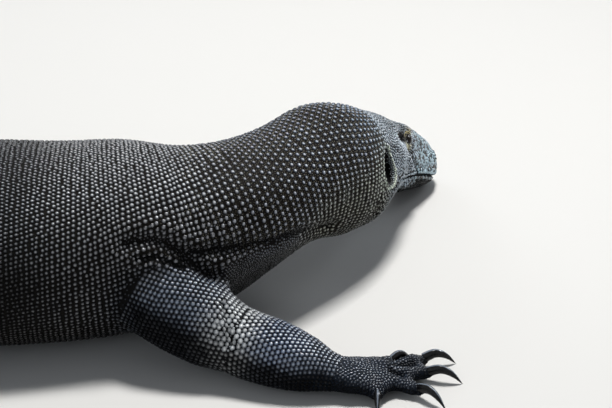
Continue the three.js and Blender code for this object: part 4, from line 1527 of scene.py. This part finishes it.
def clawShape():
    # A claw of length 1 along x, its heights and widths in metres, drawn out ring by ring from its root.
    x = np.linspace(0, 1, clawSet["steps"] + 1)
    stations, halves, heights = (np.array(clawSet[key]) for key in ("stations", "halves", "heights"))
    z = smoothLine(stations, heights[:, None] * millimetre, x)[:, 0]
    half = np.maximum(smoothLine(stations, halves[:, None] * millimetre, x)[:, 0], clawSet["thinnest"])
    length = clawSet["length"]
    slope = np.arctan2(np.gradient(z), np.gradient(x) * length)
    activate(None)
    bpy.ops.mesh.primitive_circle_add(vertices=clawSet["sides"], radius=half[0], fill_type="NGON",
                                      location=(0, 0, z[0]), rotation=(0, math.pi / 2, 0))
    piece = bpy.context.object
    bpy.ops.object.transform_apply(location=True, rotation=True, scale=False)
    bpy.ops.object.mode_set(mode="EDIT")
    bpy.ops.mesh.select_mode(type="FACE")
    bpy.ops.mesh.select_all(action="SELECT")
    for k in range(clawSet["steps"]):
        step = ((x[k + 1] - x[k]) * length, 0, z[k + 1] - z[k])
        bpy.ops.mesh.extrude_region_move(TRANSFORM_OT_translate={"value": step})
        ratio = half[k + 1] / half[k]
        middle = (x[k + 1] * length, 0, z[k + 1])
        bpy.ops.transform.resize(value=(ratio, ratio, ratio), center_override=middle)
    endFacingOut()
    mesh = piece.data
    points = vertexArray(mesh)
    ring = np.clip(np.round(points[:, 0] / length * clawSet["steps"]).astype(int), 0, clawSet["steps"])
    up = points[:, 2] - z[ring]  # taller than wide, with a keel on top and a groove on each side
    turned = np.arctan2(up, points[:, 1])
    groove, grooveAt, grooveWide = clawSet["groove"]
    keel, keelWide = clawSet["keel"]
    points[:, 1] *= (1 - groove * bell(np.abs(turned) - grooveAt, grooveWide)
                     - keel * bell(turned - math.pi / 2, keelWide))
    points[:, 0] = x[ring] - up * np.sin(slope[ring]) / length * clawSet["lean"]
    points[:, 2] = z[ring] + up * clawSet["tall"] * np.cos(slope[ring])
    setVertices(mesh, points)
    ridge = mesh.attributes.new("ridge", "FLOAT", "POINT")
    ridge.data.foreach_set("value", bell(turned - math.pi / 2, clawSet["ridge"]).astype(np.float32))
    mesh.shade_smooth()
    return piece


def makeClawMaterial():
    material, graph, shader = newMaterial("claw")
    streak = graph.noise(graph.where(), 260.0, 4.0)
    horn = graph.add("ValToRGB", "Color", {"Fac": streak})
    setRamp(horn.node.color_ramp, clawStops)
    ridgeHighlight = graph.ranged(graph.attribute("ridge", "Fac"), 0.50, 1.0)  # a painted highlight, pale along the ridge
    graph.feed(shader, {
        "Base Color": graph.mixed(ridgeHighlight, horn, (*colour("#c6d5ea"), 1)),
        "Normal": graph.bump(streak, 0.3, 0.0004),
        "Roughness": 0.22,
        "Specular IOR Level": 0.18,
    })
    return material


clawMaterial = makeClawMaterial()
claw = clawShape()
for key, limb in limbs.items():
    end, hand = key.split("_")
    palm = Vector(limb["palm"])
    for i, (turn, reach, length) in enumerate(limb["digits"]):
        way = math.radians(limb["heading"] - limb["side"] * turn)
        out = math.radians(limb["heading"] - limb["side"] * (turn - clawSet["bend"]))
        knuckle = Vector((palm.x + reach * math.cos(way), palm.y + reach * math.sin(way), 0))
        piece = placed(f"claw{end.capitalize()}{hand.capitalize()}{i + 1}", claw.data.copy())
        piece.data.transform(Matrix.Translation(knuckle) @ Matrix.Rotation(out, 4, "Z")
                             @ Matrix.Diagonal((length, 1, 1, 1)))
        points = vertexArray(piece.data)
        points[:, 2] = np.maximum(points[:, 2], 0.0)
        setVertices(piece.data, points)
        piece.data.materials.append(clawMaterial)
        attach(piece, "root")
        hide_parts(f"claw_{end}_{hand}_{i + 1}")
bpy.data.objects.remove(claw)
print("claws done")

# Camera, light and floor
camera = {"target": (0.5063, 0.0, 0.167), "away": 4.25, "elevation": math.radians(32), "lens": 200}


def placeCamera():
    data = bpy.data.cameras.new("camera")
    data.lens = camera["lens"]
    data.sensor_width = 36
    data.clip_end = 50
    piece = placed("camera", data)
    back = Vector((0, -math.cos(camera["elevation"]), math.sin(camera["elevation"])))
    piece.location = Vector(camera["target"]) + back * camera["away"]
    piece.rotation_euler = (-back).to_track_quat("-Z", "Y").to_euler()
    bpy.context.scene.camera = piece


lamps = {
    "key": {"at": (0.8, 0.60, 3.0), "size": 0.6, "watts": 96, "colour": (1.0, 0.98, 0.95)},
    "fill": {"at": (-1.2, -2.6, 1.6), "size": 2.2, "watts": 8, "colour": (0.84, 0.91, 1.0)},
    "back": {"at": (-1.4, 2.2, 1.8), "size": 1.4, "watts": 12, "colour": (0.90, 0.95, 1.0)},
    "catch": {"at": (1.69, 0.78, 1.04), "size": 0.40, "watts": 34, "colour": (0.92, 0.96, 1.0)},
}
lampsAim = (0.3, 0, 0.1)
studio = {"pale": (0.74, 0.745, 0.75, 1), "world": (0.86, 0.90, 0.95, 1), "worldStrength": 0.20,
          "floor": (0.72, 0.72, 0.71, 1), "floorSize": 60, "fade": (1.0, 3.5)}


def placeLamps():
    for name, lamp in lamps.items():
        data = bpy.data.lights.new(name, "AREA")
        data.size = lamp["size"]
        data.energy = lamp["watts"]
        data.color = lamp["colour"]
        piece = placed(name, data)
        piece.location = lamp["at"]
        piece.visible_diffuse = name != "catch"  # only a highlight on what is glossy
        aim = Vector(lampsAim) - Vector(lamp["at"])
        piece.rotation_euler = aim.to_track_quat("-Z", "Y").to_euler()


def shownInstead(graph, plain, share=1):
    # The pale colour is what the camera and mirrors see in place of the plain shader, by a share.
    rays = graph.add("LightPath", 0).node.outputs
    seen = graph.math("MAXIMUM", rays["Is Camera Ray"], rays["Is Glossy Ray"])
    seen = graph.math("MAXIMUM", seen, rays["Is Transmission Ray"])
    glow = graph.add("Emission", 0, {"Color": studio["pale"]})
    return graph.add("MixShader", 0, {0: graph.times(seen, share), 1: plain, 2: glow})


def placeWorld():
    world = bpy.data.worlds.new("studio")
    bpy.context.scene.world = world
    graph = Graph(world)
    light = graph.nodes["Background"]
    graph.feed(light, {"Color": studio["world"], "Strength": studio["worldStrength"]})
    graph.feed(graph.nodes["World Output"], {"Surface": shownInstead(graph, light.outputs[0])})


def placeFloor():
    activate(None)
    bpy.ops.mesh.primitive_plane_add(size=studio["floorSize"], location=(0, 0, 0))
    floor = bpy.context.object
    floor.name = "floor"
    material, graph, shader = newMaterial("paleFloor")
    graph.feed(shader, {"Base Color": studio["floor"], "Roughness": 0.9})
    away = graph.add("VectorMath", "Value", {0: graph.where()}, operation="LENGTH")
    far = graph.ranged(away, *studio["fade"], interpolation_type="SMOOTHSTEP")
    graph.feed(graph.nodes["Material Output"], {"Surface": shownInstead(graph, shader.outputs[0], far)})
    floor.data.materials.append(material)
    floor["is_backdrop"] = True


placeCamera()
placeLamps()
placeWorld()
placeFloor()
bpy.context.scene.view_settings.view_transform = "Standard"

for spare in (solids, bodyForm):
    bpy.data.objects.remove(spare)
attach(skin, "root")
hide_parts(*fleshNodes)

low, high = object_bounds()
